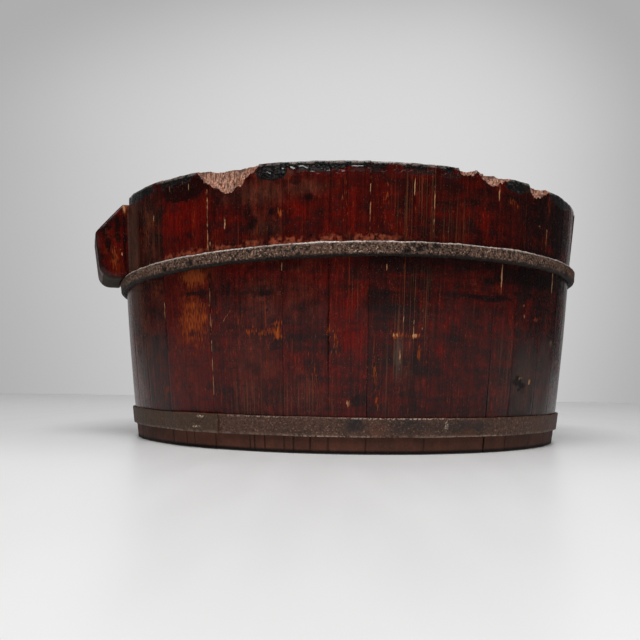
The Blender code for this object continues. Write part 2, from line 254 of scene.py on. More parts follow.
def dent(piece, place, radius, depth, towards):
    """Press a soft hollow into a piece, round one point."""
    points = points_of(piece)
    away = np.linalg.norm(points - np.array(place), axis=1) / radius
    push = np.clip(1 - away**2, 0, 1) ** 2 * depth
    move_points(piece, points + push[:, None] * np.array(towards))


print("roughening ready")

# %% [markdown]
# ## Names for the finishes
# The materials are mixed near the end, but cutters carry the broken wood to the faces that they cut, so all
# the finishes get their names now.

# %% Empty finishes
red_lacquer = bpy.data.materials.new("red lacquer")
inner_lacquer = bpy.data.materials.new("inner lacquer")
end_grain = bpy.data.materials.new("end grain")
torn_wood = bpy.data.materials.new("torn wood")
bottom_wood = bpy.data.materials.new("bottom wood")
forged_iron = bpy.data.materials.new("forged iron")
strip_iron = bpy.data.materials.new("strip iron")
split_bamboo = bpy.data.materials.new("split bamboo")
STAVE_FINISHES = (red_lacquer, inner_lacquer, end_grain, torn_wood)
print("finishes named:", len(bpy.data.materials))

# %% [markdown]
# ## Staves
# A stave is a tapered board. On the flat it is a plain board of the width it has at the rim, because the
# ring narrows it towards the foot by itself. The board is rounded along its worn edges while it has few
# faces, gets the groove for the bottom by bisecting and extruding, and is then cut into rows fine enough to
# be uneven.

# %% Where the staves stand
HANDLE_AZIMUTH = math.radians(-70.5)
HANDLE_WIDTH = 0.067
# Widths at the rim in millimetres, from the left handle to the right one, and on round the back.
FRONT_WIDTHS = (35, 39, 55, 66, 37, 31, 50, 60, 28, 38, 35, 53, 55, 59)
BACK_WIDTHS = (47, 59, 39, 55, 35, 63, 43, 51, 59, 39, 55, 47, 49)


def stave_layout():
    """Name, centre angle and angular width of each stave, from the left handle round to the right."""
    handle = HANDLE_WIDTH / RIM_RADIUS
    layout = []
    edge = HANDLE_AZIMUTH - handle / 2
    for side, row, widths in (("left", "front", FRONT_WIDTHS), ("right", "back", BACK_WIDTHS)):
        layout.append((f"handle_stave_{side}", edge + handle / 2, handle))
        edge += handle
        for number, width in enumerate(widths, 1):
            angle = (math.pi - handle) * width / sum(widths)
            layout.append((f"{row}_stave_{number:02d}", edge + angle / 2, angle))
            edge += angle
    return layout


LAYOUT = stave_layout()
print("staves:", len(LAYOUT), "joints at", [round(math.degrees(c - a / 2), 1) for _, c, a in LAYOUT])

# %% Saw a plain board
WORN_EDGE = 0.0015
JOINT_EDGE = 0.00012
ROW = 0.002
GROOVE = (0.0157, 0.0263)
GROOVE_DEPTH = 0.005
TINY = 1e-5


def near(values, target):
    return np.abs(values - target) < TINY


def both_at(start, end, axis, target):
    """The edges whose two ends are at one place along an axis."""
    return near(start[:, axis], target) & near(end[:, axis], target)


def plain_board(name, width):
    """A board on the flat, outside at y = 0, with worn ends, eased joints and the groove inside."""
    board = block(name, (-width / 2, 0, 0), (width / 2, WALL, HEIGHT))

    def ends(start, end):
        level = near(start[:, 2], end[:, 2]) & near(start[:, 1], end[:, 1])
        return level & (near(start[:, 2], 0) | near(start[:, 2], HEIGHT))

    def joints(start, end):
        return both_at(np.abs(start), np.abs(end), 0, width / 2) & near(start[:, 0], end[:, 0])

    round_edges(board, ends, WORN_EDGE, segments=3)
    round_edges(board, joints, JOINT_EDGE, segments=2)
    for level in GROOVE:
        slice_at(board, (0, 0, level), (0, 0, 1))
    pick_faces(board, lambda centre, normal: normal.y > FACING and GROOVE[0] < centre.z < GROOVE[1])
    bpy.ops.mesh.extrude_region_move(TRANSFORM_OT_translate={"value": (0, -GROOVE_DEPTH, 0)})
    done()
    for axis in (2, 0, 1):
        cut_rows(board, axis, ROW)
    return board


TRIAL_WIDTH = 0.050

trial = plain_board("trial_board", TRIAL_WIDTH)
corners = [len(face.vertices) for face in trial.data.polygons]
print("a trial board has", len(corners), "faces, of which", sum(c != 4 for c in corners), "are not quads")
bpy.data.objects.remove(trial)

# %% [markdown]
# ## Lugs
# A handle stave is sawn from thicker stock. It stops a little below the rim, and the wood outside the wall
# is left standing as a lug above the hoop: a ledge on top, a long slope, a flat face and a rounded underside
# for the fingers. The face of a plain board is extruded to that thickness, and the slope is sliced off as a
# carver would. Voxels then give the carved block one even mesh with soft edges.

# %% Carve a handle board
HANDLE_DROP = 0.0065
LUG_LEDGE = 0.0055
LUG_REACH = 0.0275
LUG_LEAN = 0.0034
LUG_CHAMFER = 0.0285
LUG_DROP = 0.0034
LUG_STEP = (-0.0058, -0.0078)
LUG_ROUND = 0.010
LUG_SIDE_ROUND = 0.0048
LUG_EDGE = 0.0007
VOXEL = 0.0013


def handle_board(name, width, seats):
    """A handle board whose lug rests on the hoop, at these two heights on its left and right."""
    top = HEIGHT - HANDLE_DROP
    lug_bottom = max(seats)
    board = block(name, (-width / 2, 0, 0), (width / 2, WALL, top))
    reach = LUG_REACH + LUG_LEAN
    slice_at(board, (0, 0, lug_bottom), (0, 0, 1))
    pick_faces(board, lambda centre, normal: normal.y < -FACING and centre.z > lug_bottom)
    bpy.ops.mesh.extrude_region_move(TRANSFORM_OT_translate={"value": (0, -reach, 0)})
    bpy.ops.mesh.select_all(action="SELECT")
    slope = Vector((0, -LUG_CHAMFER, reach - LUG_LEDGE))
    bpy.ops.mesh.bisect(plane_co=(0, -LUG_LEDGE, top), plane_no=slope, use_fill=True, clear_outer=True)
    done()
    pick_edges(board, lambda start, end: both_at(start, end, 1, -reach) & both_at(start, end, 2, lug_bottom))
    bpy.ops.transform.translate(value=(0, LUG_LEAN, 0))
    done()
    for x, seat in zip((-width / 2, width / 2), seats):
        pick_edges(board, lambda start, end: both_at(start, end, 0, x) & both_at(start, end, 2, lug_bottom))
        bpy.ops.transform.translate(value=(0, 0, seat - lug_bottom))
        done()

    for depth in LUG_STEP:
        slice_at(board, (0, depth, 0), (0, 1, 0))

    def underside(centre, normal):
        return normal.z < -FACING and centre.y < LUG_STEP[1] and centre.z > lug_bottom / 2

    pick_faces(board, underside)
    bpy.ops.transform.translate(value=(0, 0, -LUG_DROP))
    done()

    def lower_edge(start, end):
        return both_at(start, end, 1, -LUG_REACH)

    def lug_sides(start, end):
        side = near(np.abs(start[:, 0]), width / 2) & near(start[:, 0], end[:, 0])
        below = (start[:, 2] < top - LUG_CHAMFER + TINY) & (end[:, 2] < top - LUG_CHAMFER + TINY)
        outside = (start[:, 1] < LUG_STEP[1] + TINY) & (end[:, 1] < LUG_STEP[1] + TINY)
        return side & below & outside

    def slope_edges(start, end):
        across = near(start[:, 1], end[:, 1]) & near(start[:, 2], end[:, 2])
        return across & (near(start[:, 1], -reach) | near(start[:, 1], -LUG_LEDGE))

    round_edges(board, lower_edge, LUG_ROUND, segments=6)
    round_edges(board, lug_sides, LUG_SIDE_ROUND, segments=3)
    round_edges(board, slope_edges, LUG_EDGE, segments=2)
    apply(board, "REMESH", mode="VOXEL", voxel_size=VOXEL)
    apply(board, "SMOOTH", factor=0.5, iterations=2)
    return board


TRIAL_SEATS = (0.1467, 0.1484)

trial = handle_board("trial_handle", HANDLE_WIDTH, TRIAL_SEATS)
reach = -points_of(trial)[:, 1].min()
print("a handle board has", len(trial.data.polygons), "faces and reaches", round(reach, 4))
bpy.data.objects.remove(trial)

# %% [markdown]
# ## Wear on the flat
# Each board gets shallow hollows from the plane, ridges along the grain and a rim that use has nibbled down.
# Its UV map is laid out before it is bent: metres along the rim and metres up. Two more maps carry what the
# finish needs to know, so that it stays true after the chips are cut: how near the joint is and how far the
# hoop is below, and then how red the board is and a number that makes its grain its own.

# %% Weather the boards and note their places
# Each kind of roughness is a size, a depth and, where it is stretched, a stretch along each axis.
PLANE_HOLLOWS = (0.028, 0.0007, (1, 1, 4))
GRAIN_RIDGES = (0.0035, 0.0003, (1, 1, 14))
RIM_NIBBLES = (0.009, 0.0012, (1, 1, 3))
NIBBLED_DOWN = 0.75
LUG_OUTSIDE = 0.0016
FOOT_FACING = -0.6
INSIDE_FACING = 0.5
RIM_ZONE = 0.010
# Blisters lie between these angles in degrees.
BLISTERED = ((-17.5, 4.0), (34.5, 40.5))
BLISTERS = (0.0036, 0.0046)
BLISTER_ZONE = 0.011
BLISTER_FADE = 0.002
OUTWARDS = -0.3
SMOOTH_LIP = 0.0034
# How far each stave is worn down at the rim, and then how red it is, from 0 to 1.
RIM_DROP = {
    "front_stave_01": -0.0008, "front_stave_02": -0.0008, "front_stave_09": 0.0012, "front_stave_10": 0.0010,
    "front_stave_11": 0.0012, "front_stave_12": 0.0016, "front_stave_13": 0.0042,
}
REDNESS = {
    "handle_stave_left": 0.80, "front_stave_01": 0.10, "front_stave_02": 0.25, "front_stave_03": 0.95,
    "front_stave_04": 0.48, "front_stave_05": 0.55, "front_stave_06": 0.70, "front_stave_07": 0.28,
    "front_stave_08": 0.35, "front_stave_09": 0.45, "front_stave_10": 0.08, "front_stave_11": 0.25,
    "front_stave_12": 0.30, "front_stave_13": 0.20,
}
OTHER_REDNESS = (0.15, 0.65)
GOLDEN_SHARE = 0.618034
GRAIN_STEP = 0.37
SIDEWAYS = 0.7


def spread(number, low, high):
    """An even but unordered choice between two values, the same on each run."""
    return low + (high - low) * ((number * GOLDEN_SHARE) % 1.0)


def weather(board, number, centre):
    """Plane marks, grain, a nibbled rim, and blisters where the old lacquer is thick."""
    roughen(board, *PLANE_HOLLOWS, number)
    roughen(board, *GRAIN_RIDGES, number)
    z = points_of(board)[:, 2]
    rim = np.clip((z - z.max() + RIM_ZONE) / RIM_ZONE, 0, 1)
    roughen(board, *RIM_NIBBLES, number, middle=NIBBLED_DOWN, direction="Z", where=rim)
    for start, end in BLISTERED:
        angle = np.degrees(centre + points_of(board)[:, 0] / RIM_RADIUS)
        if angle.max() > start and angle.min() < end:
            blister(board, number, centre, start, end)


def blister(board, number, centre, start, end):
    """Raise lumps in the thick old lacquer along the rim, between two angles."""
    pick_faces(board, lambda middle, normal: middle.z > HEIGHT - BLISTER_ZONE and normal.y < OUTWARDS)
    bpy.ops.mesh.subdivide(number_cuts=1)
    done()
    x, y, z = points_of(board).T
    angle = np.degrees(centre + x / RIM_RADIUS)
    along = np.clip(np.minimum(angle - start, end - angle), 0, 1)
    high = np.clip(np.minimum(z - HEIGHT + BLISTER_ZONE, HEIGHT - SMOOTH_LIP - z) / BLISTER_FADE, 0, 1)
    roughen(board, *BLISTERS, shift=number, where=along * high * (y < WORN_EDGE))


def corner_points(piece):
    """The point at each corner of each face."""
    corners = np.empty(len(piece.data.loops), np.int32)
    piece.data.loops.foreach_get("vertex_index", corners)
    return points_of(piece)[corners]


def write_maps(piece, maps):
    """UV maps by name, from two columns with a number for each corner of each face."""
    for name, columns in maps.items():
        layer = piece.data.uv_layers.new(name=name)
        layer.data.foreach_set("uv", np.column_stack(columns).astype(np.float32).ravel())


def lay_out(board, centre, width, redness, number):
    """Three UV maps, from the board's shape on the flat."""
    faces = board.data.polygons
    corner_face = np.repeat(np.arange(len(faces)), [len(face.vertices) for face in faces])
    looks = np.array([face.normal for face in faces])[corner_face]
    middle = np.array([face.center for face in faces])[corner_face]
    x, y, z = corner_points(board).T
    on_lug = middle[:, 1] < -LUG_OUTSIDE
    on_side = on_lug & (np.abs(looks[:, 0]) > SIDEWAYS)
    under = on_lug & (looks[:, 2] < -SIDEWAYS)
    over = looks[:, 2] > SIDEWAYS
    arc = centre * RIM_RADIUS + x
    along = np.where(on_side, centre * RIM_RADIUS + np.sign(x) * (width / 2 - y), arc)
    along = along + np.where(on_lug, FULL_TURN * RIM_RADIUS, 0)
    up = z + np.where(under, y, 0) + np.where(over, np.abs(y), 0)
    write_maps(board, {
        "board": (along, up),
        "fit": (width / 2 - np.abs(x), z - hoop_top(arc / RIM_RADIUS)),
        "tone": (np.full(len(x), redness), np.full(len(x), number * GRAIN_STEP)),
    })


def finish_faces(board):
    """Outside and edges lacquered, inside in the darker lacquer, and bare end grain at the foot."""
    for finish in STAVE_FINISHES:
        board.data.materials.append(finish)
    for face in board.data.polygons:
        finish = red_lacquer
        if face.normal.z < FOOT_FACING and face.center.z < WALL:
            finish = end_grain
        elif face.normal.y > INSIDE_FACING and face.center.z < HEIGHT - WORN_EDGE:
            finish = inner_lacquer
        face.material_index = STAVE_FINISHES.index(finish)
        face.use_smooth = True


print("weathering ready")

# %% [markdown]
# ## Into the ring
# Setting a board in the ring turns its x into an angle and its y into a depth below the wall's cone. The
# lugs' outer faces were planed flat after the ring was drawn tight, so points out there are pulled in to a
# plane. A few staves at the right have sprung out above the hoop, and one joint has dried open at the foot.

# %% Set the boards in the ring
# How far the left and the right edge of a stave stand out at the rim.
SPRUNG_OUT = {
    "front_stave_10": (0.0, 0.0004),
    "front_stave_11": (0.0004, 0.0010),
    "front_stave_12": (0.0010, 0.0018),
    "front_stave_13": (0.0026, 0.0020),
    "front_stave_14": (0.0008, 0.0),
}
OPEN_STAVE = "front_stave_09"
OPEN_HEIGHT = 0.085
OPEN_WIDTH = 0.0016
OPEN_REACH = 0.010
RIM_DROP_ZONE = 4 * RIM_ZONE


def set_in_ring(board, name, centre, half):
    """Bend a flat board into its place in the ring. The half is half of its angular width."""
    x, y, z = points_of(board).T
    if name in SPRUNG_OUT:
        hoop_level = HEIGHT - HOOP_DROP + HOOP_TILT
        lean = np.clip((z - hoop_level) / (HEIGHT - hoop_level), 0, None)
        out = np.interp(x, (-half * RIM_RADIUS, half * RIM_RADIUS), SPRUNG_OUT[name])
        y = y - out * lean * (1 - np.clip(y / WALL, 0, 1))
    if name == OPEN_STAVE:
        beside = np.clip(1 - (x + half * RIM_RADIUS) / OPEN_REACH, 0, 1)
        x = x + OPEN_WIDTH * np.clip(1 - z / OPEN_HEIGHT, 0, 1) * beside
    if name in RIM_DROP:
        z = z - RIM_DROP[name] * np.clip((z - HEIGHT + RIM_DROP_ZONE) / RIM_DROP_ZONE, 0, 1)
    angle = x / RIM_RADIUS
    radius = wall_radius(z) - y
    if name.startswith("handle"):
        planed = np.cos(half) / np.cos(angle) - 1
        radius = radius * (1 + planed * np.clip(-y / LUG_REACH, 0, 1))
    move_points(board, around(radius, centre + angle, z))


staves = {}
for number, (name, centre, angle) in enumerate(LAYOUT):
    half = angle / 2 - JOINT_GAP / 2 / wall_radius(0)
    width = 2 * half * RIM_RADIUS
    if name.startswith("handle"):
        board = handle_board(name, width, [hoop_top(centre + side * half) + SEAT for side in (-1, 1)])
    else:
        board = plain_board(name, width)
    weather(board, number, centre)
    lay_out(board, centre, width, REDNESS.get(name, spread(number, *OTHER_REDNESS)), number)
    finish_faces(board)
    set_in_ring(board, name, centre, half)
    staves[name] = board
print("staves set:", len(staves), "triangles about", 2 * sum(len(s.data.polygons) for s in staves.values()))

# %% [markdown]
# ## Chips
# Four bites are broken out of the rim. Wood splits along its fibres, so each scoop is a ball squeezed to the
# size of the bite and then roughened by noise that is stretched upwards. A Boolean takes it out of the
# staves and leaves the broken faces in the torn wood that the scoop carries.

# %% Break the rim
# Angle in degrees, half width, depth, bite into the wall, and share by which the chip narrows below.
CHIPS = (
    (-24.3, 0.031, 0.021, 0.010, 0.42),
    (24.6, 0.009, 0.007, 0.008, 0.0),
    (31.4, 0.0175, 0.010, 0.008, 0.1),
    (45.6, 0.0172, 0.011, 0.007, 0.1),
)
BROKEN_LUMPS = (0.009, 0.0065, (1, 1, 1.5))
BROKEN_FIBRES = (0.0024, 0.0036, (1, 1, 7))


def scoop(name, degrees, half_width, depth, bite, taper):
    """A rough ball that breaks a bite of this size out of the rim, narrower below by the taper."""
    rise = depth / 2
    at_rim = math.sqrt(1 - (rise / (depth + rise)) ** 2)
    bpy.ops.object.select_all(action="DESELECT")
    bpy.ops.mesh.primitive_ico_sphere_add(
        subdivisions=6,
        radius=1,
        location=(0, -RIM_RADIUS, HEIGHT + rise),
        scale=(half_width / at_rim, bite / at_rim, depth + rise),
    )
    ball = bpy.context.object
    ball.name = name
    bpy.ops.object.transform_apply(location=True, rotation=True, scale=True)
    points = points_of(ball)
    points[:, 0] *= 1 - taper * np.clip((HEIGHT - points[:, 2]) / depth, 0, 1)
    move_points(ball, points)
    roughen(ball, *BROKEN_LUMPS, degrees)
    roughen(ball, *BROKEN_FIBRES, degrees)
    edit(ball, "VERT")
    bpy.ops.mesh.select_all(action="SELECT")
    bpy.ops.transform.rotate(value=-math.radians(degrees), orient_axis="Z", center_override=(0, 0, 0))
    done()
    ball.data.materials.append(torn_wood)
    return ball


chipped = set()
breaking = {"operation": "DIFFERENCE", "solver": "EXACT", "material_mode": "TRANSFER"}
for number, (degrees, half_width, *rest) in enumerate(CHIPS, 1):
    ball = scoop(f"scoop_{number}", degrees, half_width, *rest)
    reach = half_width / RIM_RADIUS
    for name, centre, angle in LAYOUT:
        if abs(math.radians(degrees) - centre) < reach + angle / 2:
            apply(staves[name], "BOOLEAN", object=ball, **breaking)
            chipped.add(name)
    middle = points_of(ball).mean(0)
    print(ball.name, "centred at", round(math.degrees(math.atan2(middle[0], -middle[1])), 1), "degrees")
    bpy.data.objects.remove(ball)
print("chipped staves:", sorted(chipped))

# %% Dress the staves


def dress(piece, node):
    """Let a piece stand for a CAD node and ride on the tub's only body."""
    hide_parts(node)
    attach(piece, "root")


for name, board in staves.items():
    board.name = f"{name}_worn"
    dress(board, name)
print("dressed:", len(staves))

# %% [markdown]
# ## Upper hoop
# The hoop was a bar, drawn out straight on the anvil and then bent round and welded. So here too it starts
# as a straight bar with hammered-round outer edges, is cut into rows, is wrapped and has its two ends
# merged. It lies on the cone at a slant, and rust has pitted it all over.

# %% Forge the hoop
HOOP_HEIGHT = 0.0111
HOOP_THICKNESS = 0.0052
HOOP_ROUND = 0.0021
HOOP_SEGMENTS = 37
HOOP_ROW = 0.0010
HOOP_BENDS = (0.022, 0.0014)
HOOP_HAMMERING = (0.0045, 0.0008)
HOOP_RUST = (0.0018, 0.0009)
RUST_SHIFT = 3.0
# Angle in degrees, and share of the hoop's height.
HOOP_PITS = (
    (12.0, 0.3), (14.5, 0.45), (17.8, 0.7), (-33.0, 0.4),
    (-41.0, 0.35), (60.0, 0.3), (128.0, 0.5), (215.0, 0.4),
)
PIT_RADIUS = 0.0042
PIT_DEPTH = 0.0022


def divide(bar, cuts):
    """Cut a bar across, and then each of its lengths again."""
    for _ in range(2):
        pick_edges(bar, lambda start, end: runs_along(start, end, 0) & (np.abs(end - start)[:, 0] > ROW))
        bpy.ops.mesh.subdivide(number_cuts=cuts)
        done()


length = FULL_TURN * RIM_RADIUS
hoop = block("upper_hoop_forged", (-length / 2, -HOOP_THICKNESS, 0), (length / 2, 0, HOOP_HEIGHT))
pick_faces(hoop, lambda centre, normal: abs(normal.x) > FACING)
bpy.ops.mesh.delete(type="ONLY_FACE")
done()
round_edges(
    hoop,
    lambda start, end: both_at(start, end, 1, -HOOP_THICKNESS) & near(start[:, 2], end[:, 2]),
    HOOP_ROUND,
    segments=4,
)
divide(hoop, HOOP_SEGMENTS)
cut_rows(hoop, 2, HOOP_ROW)
cut_rows(hoop, 1, HOOP_ROW)
x, y, z = corner_points(hoop).T
write_maps(hoop, {"bar": (x, z), "share": (z / HOOP_HEIGHT, -y / HOOP_THICKNESS)})
print("the straight bar has", len(hoop.data.polygons), "faces")

# %% Bend the hoop and let it rust
x, y, z = points_of(hoop).T
angle = x / RIM_RADIUS
level = hoop_top(angle) - HOOP_HEIGHT + z
move_points(hoop, around(wall_radius(level) + SEAT - y, angle, level))
edit(hoop, "VERT")
bpy.ops.mesh.select_all(action="SELECT")
bpy.ops.mesh.remove_doubles(threshold=TINY)
bpy.ops.mesh.normals_make_consistent(inside=False)
done()
roughen(hoop, *HOOP_BENDS)
roughen(hoop, *HOOP_HAMMERING)
roughen(hoop, *HOOP_RUST, shift=RUST_SHIFT)
for degrees, up in HOOP_PITS:
    turn = math.radians(degrees)
    level = hoop_top(turn) - HOOP_HEIGHT * (1 - up)
    inward = (-math.sin(turn), math.cos(turn), 0)
    place = around(np.array([wall_radius(level) + HOOP_THICKNESS]), np.array([turn]), np.array([level]))[0]
    dent(hoop, place, PIT_RADIUS, PIT_DEPTH, inward)
bpy.ops.object.shade_smooth()
hoop.data.materials.append(forged_iron)
dress(hoop, "upper_hoop")
print("hoop faces:", len(hoop.data.polygons))

# %% [markdown]
# ## Lower band
# The band is thin strip. Its two ends lap, and the outer end steps out over the inner one. A flat strip, cut
# into rows and wrapped, keeps its corners crisp, and the lap is only a matter of how far out each part lies.

# %% Wrap the band
BAND_BOTTOM = 0.0133
BAND_HEIGHT = 0.0147
BAND_THICKNESS = 0.0024
BAND_LAP_END = math.radians(-27.5)
BAND_LAP = 0.044
BAND_JOG = 0.020
BAND_EDGE = 0.0005
BAND_SEGMENTS = 33
BAND_ROW = 0.0013
BAND_BENDS = (0.030, 0.0010)
BAND_RUST = (0.0050, 0.0004)
BAND_CREASE = math.radians(50)

band_radius = wall_radius(BAND_BOTTOM)
lap_angle = BAND_LAP / band_radius
jog_angle = BAND_JOG / band_radius
inner_end = BAND_LAP_END - lap_angle
length = (FULL_TURN + lap_angle) * RIM_RADIUS
band = block("lower_band_worn", (0, -BAND_THICKNESS, 0), (length, 0, BAND_HEIGHT))
round_edges(band, lambda start, end: np.ones(len(start), bool), BAND_EDGE, segments=2)
divide(band, BAND_SEGMENTS)
cut_rows(band, 2, BAND_ROW)
x, y, z = points_of(band).T
turn = x / RIM_RADIUS
outset = (BAND_THICKNESS + SEAT) * np.clip((turn - FULL_TURN + jog_angle) / jog_angle, 0, 1)
level = BAND_BOTTOM + z
move_points(band, around(wall_radius(level) + SEAT + outset - y, inner_end + turn, level))
roughen(band, *BAND_BENDS)
roughen(band, *BAND_RUST)
bpy.ops.object.shade_smooth_by_angle(angle=BAND_CREASE)
band.data.materials.append(strip_iron)
dress(band, "lower_band")
print("band faces:", len(band.data.polygons))

# %% [markdown]
# ## Rivets
# Two rivets on a slant close the lap. Their heads were hammered over cold, so they are flat domes that are
# never quite round.

# %% Hammer the rivets
RIVET_HEAD = 0.0062
RIVET_HEAD_HEIGHT = 0.0011
RIVET_PITCH = 0.0070
RIVET_FROM_END = 0.021
RIVET_DENTS = (0.0025, 0.0006)

lean = math.atan2(wall_radius(BAND_BOTTOM + BAND_HEIGHT) - wall_radius(BAND_BOTTOM), BAND_HEIGHT)
for number, side in enumerate((-0.5, 0.5), 1):
    level = BAND_BOTTOM + BAND_HEIGHT / 2 + side * RIVET_PITCH
    turn = BAND_LAP_END - (RIVET_FROM_END - side * RIVET_PITCH) / band_radius
    seat = wall_radius(level) + 2 * (BAND_THICKNESS + SEAT)
    bpy.ops.object.select_all(action="DESELECT")
    bpy.ops.mesh.primitive_uv_sphere_add(segments=32, ring_count=16, radius=RIVET_HEAD / 2)
    rivet = bpy.context.object
    rivet.name = f"band_rivet_{number}_hammered"
    edit(rivet, "VERT")
    bpy.ops.mesh.select_all(action="SELECT")
    bpy.ops.transform.resize(value=(1, 1, RIVET_HEAD_HEIGHT / (RIVET_HEAD / 2)))
    bpy.ops.mesh.bisect(
        plane_co=(0, 0, -RIVET_HEAD_HEIGHT / 2),
        plane_no=(0, 0, 1),
        use_fill=True,
        clear_inner=True,
    )
    done()
    roughen(rivet, *RIVET_DENTS, shift=number)
    stand = Matrix.Rotation(turn, 4, "Z") @ Matrix.Translation((0, -seat, level))
    rivet.data.transform(stand @ Matrix.Rotation(math.radians(90) + lean, 4, "X"))
    bpy.ops.object.shade_smooth()
    rivet.data.materials.append(strip_iron)
    dress(rivet, f"band_rivet_{number}")
    print(rivet.name, "faces:", len(rivet.data.polygons))

# %% [markdown]
# ## Bottom
# Five boards, doweled edge to edge, were sawn round as one disc whose edge is thinned to enter the groove.
# So the boards are planks first, with eased edges and raised grain, and a turned disc trims them all to the
# round.

# %% Turn the disc
BOTTOM_LEVEL = 0.016
BOARD_THICKNESS = 0.016
BOARD_TONGUE = 0.010
BOARD_BEVEL = 0.012
# Widths in millimetres, which are shared out over the disc.
BOARD_WIDTHS = (71, 84, 90, 78, 69)
BOARD_EDGE = 0.0012
BOARD_ROW = 0.0035
DISC_SIDES = 180

disc_edge = wall_radius(GROOVE[0]) - WALL + GROOVE_DEPTH - JOINT_GAP
disc_shoulder = wall_radius(GROOVE[1]) - WALL - JOINT_GAP
bpy.ops.object.select_all(action="DESELECT")
bpy.ops.mesh.primitive_cylinder_add(
    vertices=DISC_SIDES,
    radius=disc_edge,
    depth=BOARD_TONGUE,
    location=(0, 0, BOTTOM_LEVEL + BOARD_TONGUE / 2),
)
disc = bpy.context.object
bpy.ops.object.transform_apply(location=True, rotation=True, scale=True)
pick_faces(disc, lambda centre, normal: normal.z > FACING)
bpy.ops.mesh.inset(thickness=disc_edge - disc_shoulder)
bpy.ops.mesh.extrude_region_move(TRANSFORM_OT_translate={"value": (0, 0, BOARD_THICKNESS - BOARD_TONGUE)})
shrink = (disc_shoulder - BOARD_BEVEL) / disc_shoulder
bpy.ops.transform.resize(value=(shrink, shrink, 1))
done()
print("disc from", round(disc_edge, 4), "at the tongue to", round(disc_shoulder, 4), "at the shoulder")

# %% Plane and trim the boards
BOARD_CUPPING = (0.030, 0.0009, (4, 1, 1))
BOARD_GRAIN = (0.0050, 0.0006, (14, 1, 1))
BOARD_CREASE = math.radians(40)

half_length = disc_edge + BOARD_BEVEL
top = BOTTOM_LEVEL + BOARD_THICKNESS + TINY
edge = -disc_edge
for number, width in enumerate(BOARD_WIDTHS, 1):
    low = edge + JOINT_GAP / 2
    edge += 2 * disc_edge * width / sum(BOARD_WIDTHS)
    high = edge - JOINT_GAP / 2
    corner_low = (-half_length, low, BOTTOM_LEVEL - TINY)
    plank = block(f"bottom_board_{number}_planed", corner_low, (half_length, high, top))
    round_edges(plank, lambda start, end: np.abs(start - end)[:, 0] > half_length, BOARD_EDGE, segments=2)
    for axis in (0, 1, 2):
        cut_rows(plank, axis, BOARD_ROW)
    roughen(plank, *BOARD_CUPPING, number, middle=1.0)
    roughen(plank, *BOARD_GRAIN, number, middle=1.0)
    apply(plank, "BOOLEAN", object=disc, operation="INTERSECT", solver="EXACT")
    bpy.ops.object.shade_smooth_by_angle(angle=BOARD_CREASE)
    plank.data.materials.clear()
    plank.data.materials.append(bottom_wood)
    dress(plank, f"bottom_board_{number}")
    print(plank.name, "faces:", len(plank.data.polygons))
bpy.data.objects.remove(disc)
bpy.data.objects.remove(grain_guide)

# %% Keep the dowels
for name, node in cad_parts.items():
    if name.startswith("bottom_dowel"):
        node.data.materials.clear()
        node.data.materials.append(split_bamboo)
print("dowels stay as they are in the CAD model, inside the boards")

# %% [markdown]
# ## Mixing finishes
# Every finish is a node tree. A few short helpers place a node, link it and hand back its output, so that a
# finish can be read from top to bottom like a recipe. They all add to the tree that lies on the bench.

# %% Helpers for nodes
bench = None


def work_on(tree):
    """Lay a node tree on the bench."""
    global bench
    bench = tree


def plug(socket, value):
    """Link another node's output to a socket, or set the socket to a value."""
    if isinstance(value, bpy.types.NodeSocket):
        bench.links.new(value, socket)
    else:
        socket.default_value = value


def put(kind, sockets=(), **settings):
    """Add a node, with its settings and what goes into its sockets."""
    node = bench.nodes.new(f"ShaderNode{kind}")
    for name, value in settings.items():
        setattr(node, name, value)
    for key, value in dict(sockets).items():
        plug(node.inputs[key], value)
    return node


def start(material):
    """Lay a material on the bench and hand back its shader."""
    material.use_nodes = True
    work_on(material.node_tree)
    return bench.nodes["Principled BSDF"]


def wire(shader, **sockets):
    for name, value in sockets.items():
        plug(shader.inputs[name.replace("_", " ")], value)


def group(name, *outputs):
    """Lay a new group on the bench, which takes a place and gives numbers. Hand back its two ends."""
    tree = bpy.data.node_groups.new(name, "ShaderNodeTree")
    tree.interface.new_socket("Place", in_out="INPUT", socket_type="NodeSocketVector")
    for output in outputs:
        tree.interface.new_socket(output, in_out="OUTPUT", socket_type="NodeSocketFloat")
    work_on(tree)
    return tree.nodes.new("NodeGroupInput").outputs["Place"], tree.nodes.new("NodeGroupOutput").inputs


def use(made, place):
    return put("Group", {"Place": place}, node_tree=made).outputs


print("node helpers ready")

# %% Helpers for numbers and colours


def calc(operation, *values, clamp=False):
    return put("Math", enumerate(values), operation=operation, use_clamp=clamp).outputs[0]


def times(first, *others):
    """The product of two values or more."""
    for other in others:
        first = calc("MULTIPLY", first, other)
    return first


def most(first, *others):
    """The largest of two values or more."""
    for other in others:
        first = calc("MAXIMUM", first, other)
    return first


def minus(first, second):
    return calc("SUBTRACT", first, second)


def times_plus(value, factor, added, clamp=False):
    return calc("MULTIPLY_ADD", value, factor, added, clamp=clamp)


def span(value, low, high, to_low=0.0, to_high=1.0):
    """Smooth step of a value between two limits."""
    sockets = {"Value": value, "From Min": low, "From Max": high, "To Min": to_low, "To Max": to_high}
    return put("MapRange", sockets, interpolation_type="SMOOTHSTEP").outputs["Result"]


def paint(red, green, blue):
    """A colour picked on screen, 0 to 255, as the shader wants it."""
    shares = [part / 255 for part in (red, green, blue)]
    return tuple(s / 12.92 if s < 0.0404 else ((s + 0.055) / 1.055) ** 2.4 for s in shares) + (1,)


def mix(share, first, second, mode="MIX"):
    return put("Mix", {0: share, 6: first, 7: second}, data_type="RGBA", blend_type=mode).outputs[2]


def torn(mask, grit, amount, low, high):
    """A mask whose soft border is broken up by a texture."""
    broken = times_plus(minus(grit, 0.5), amount, mask)
    return times(span(broken, low, high), span(mask, 0.0, 0.15))


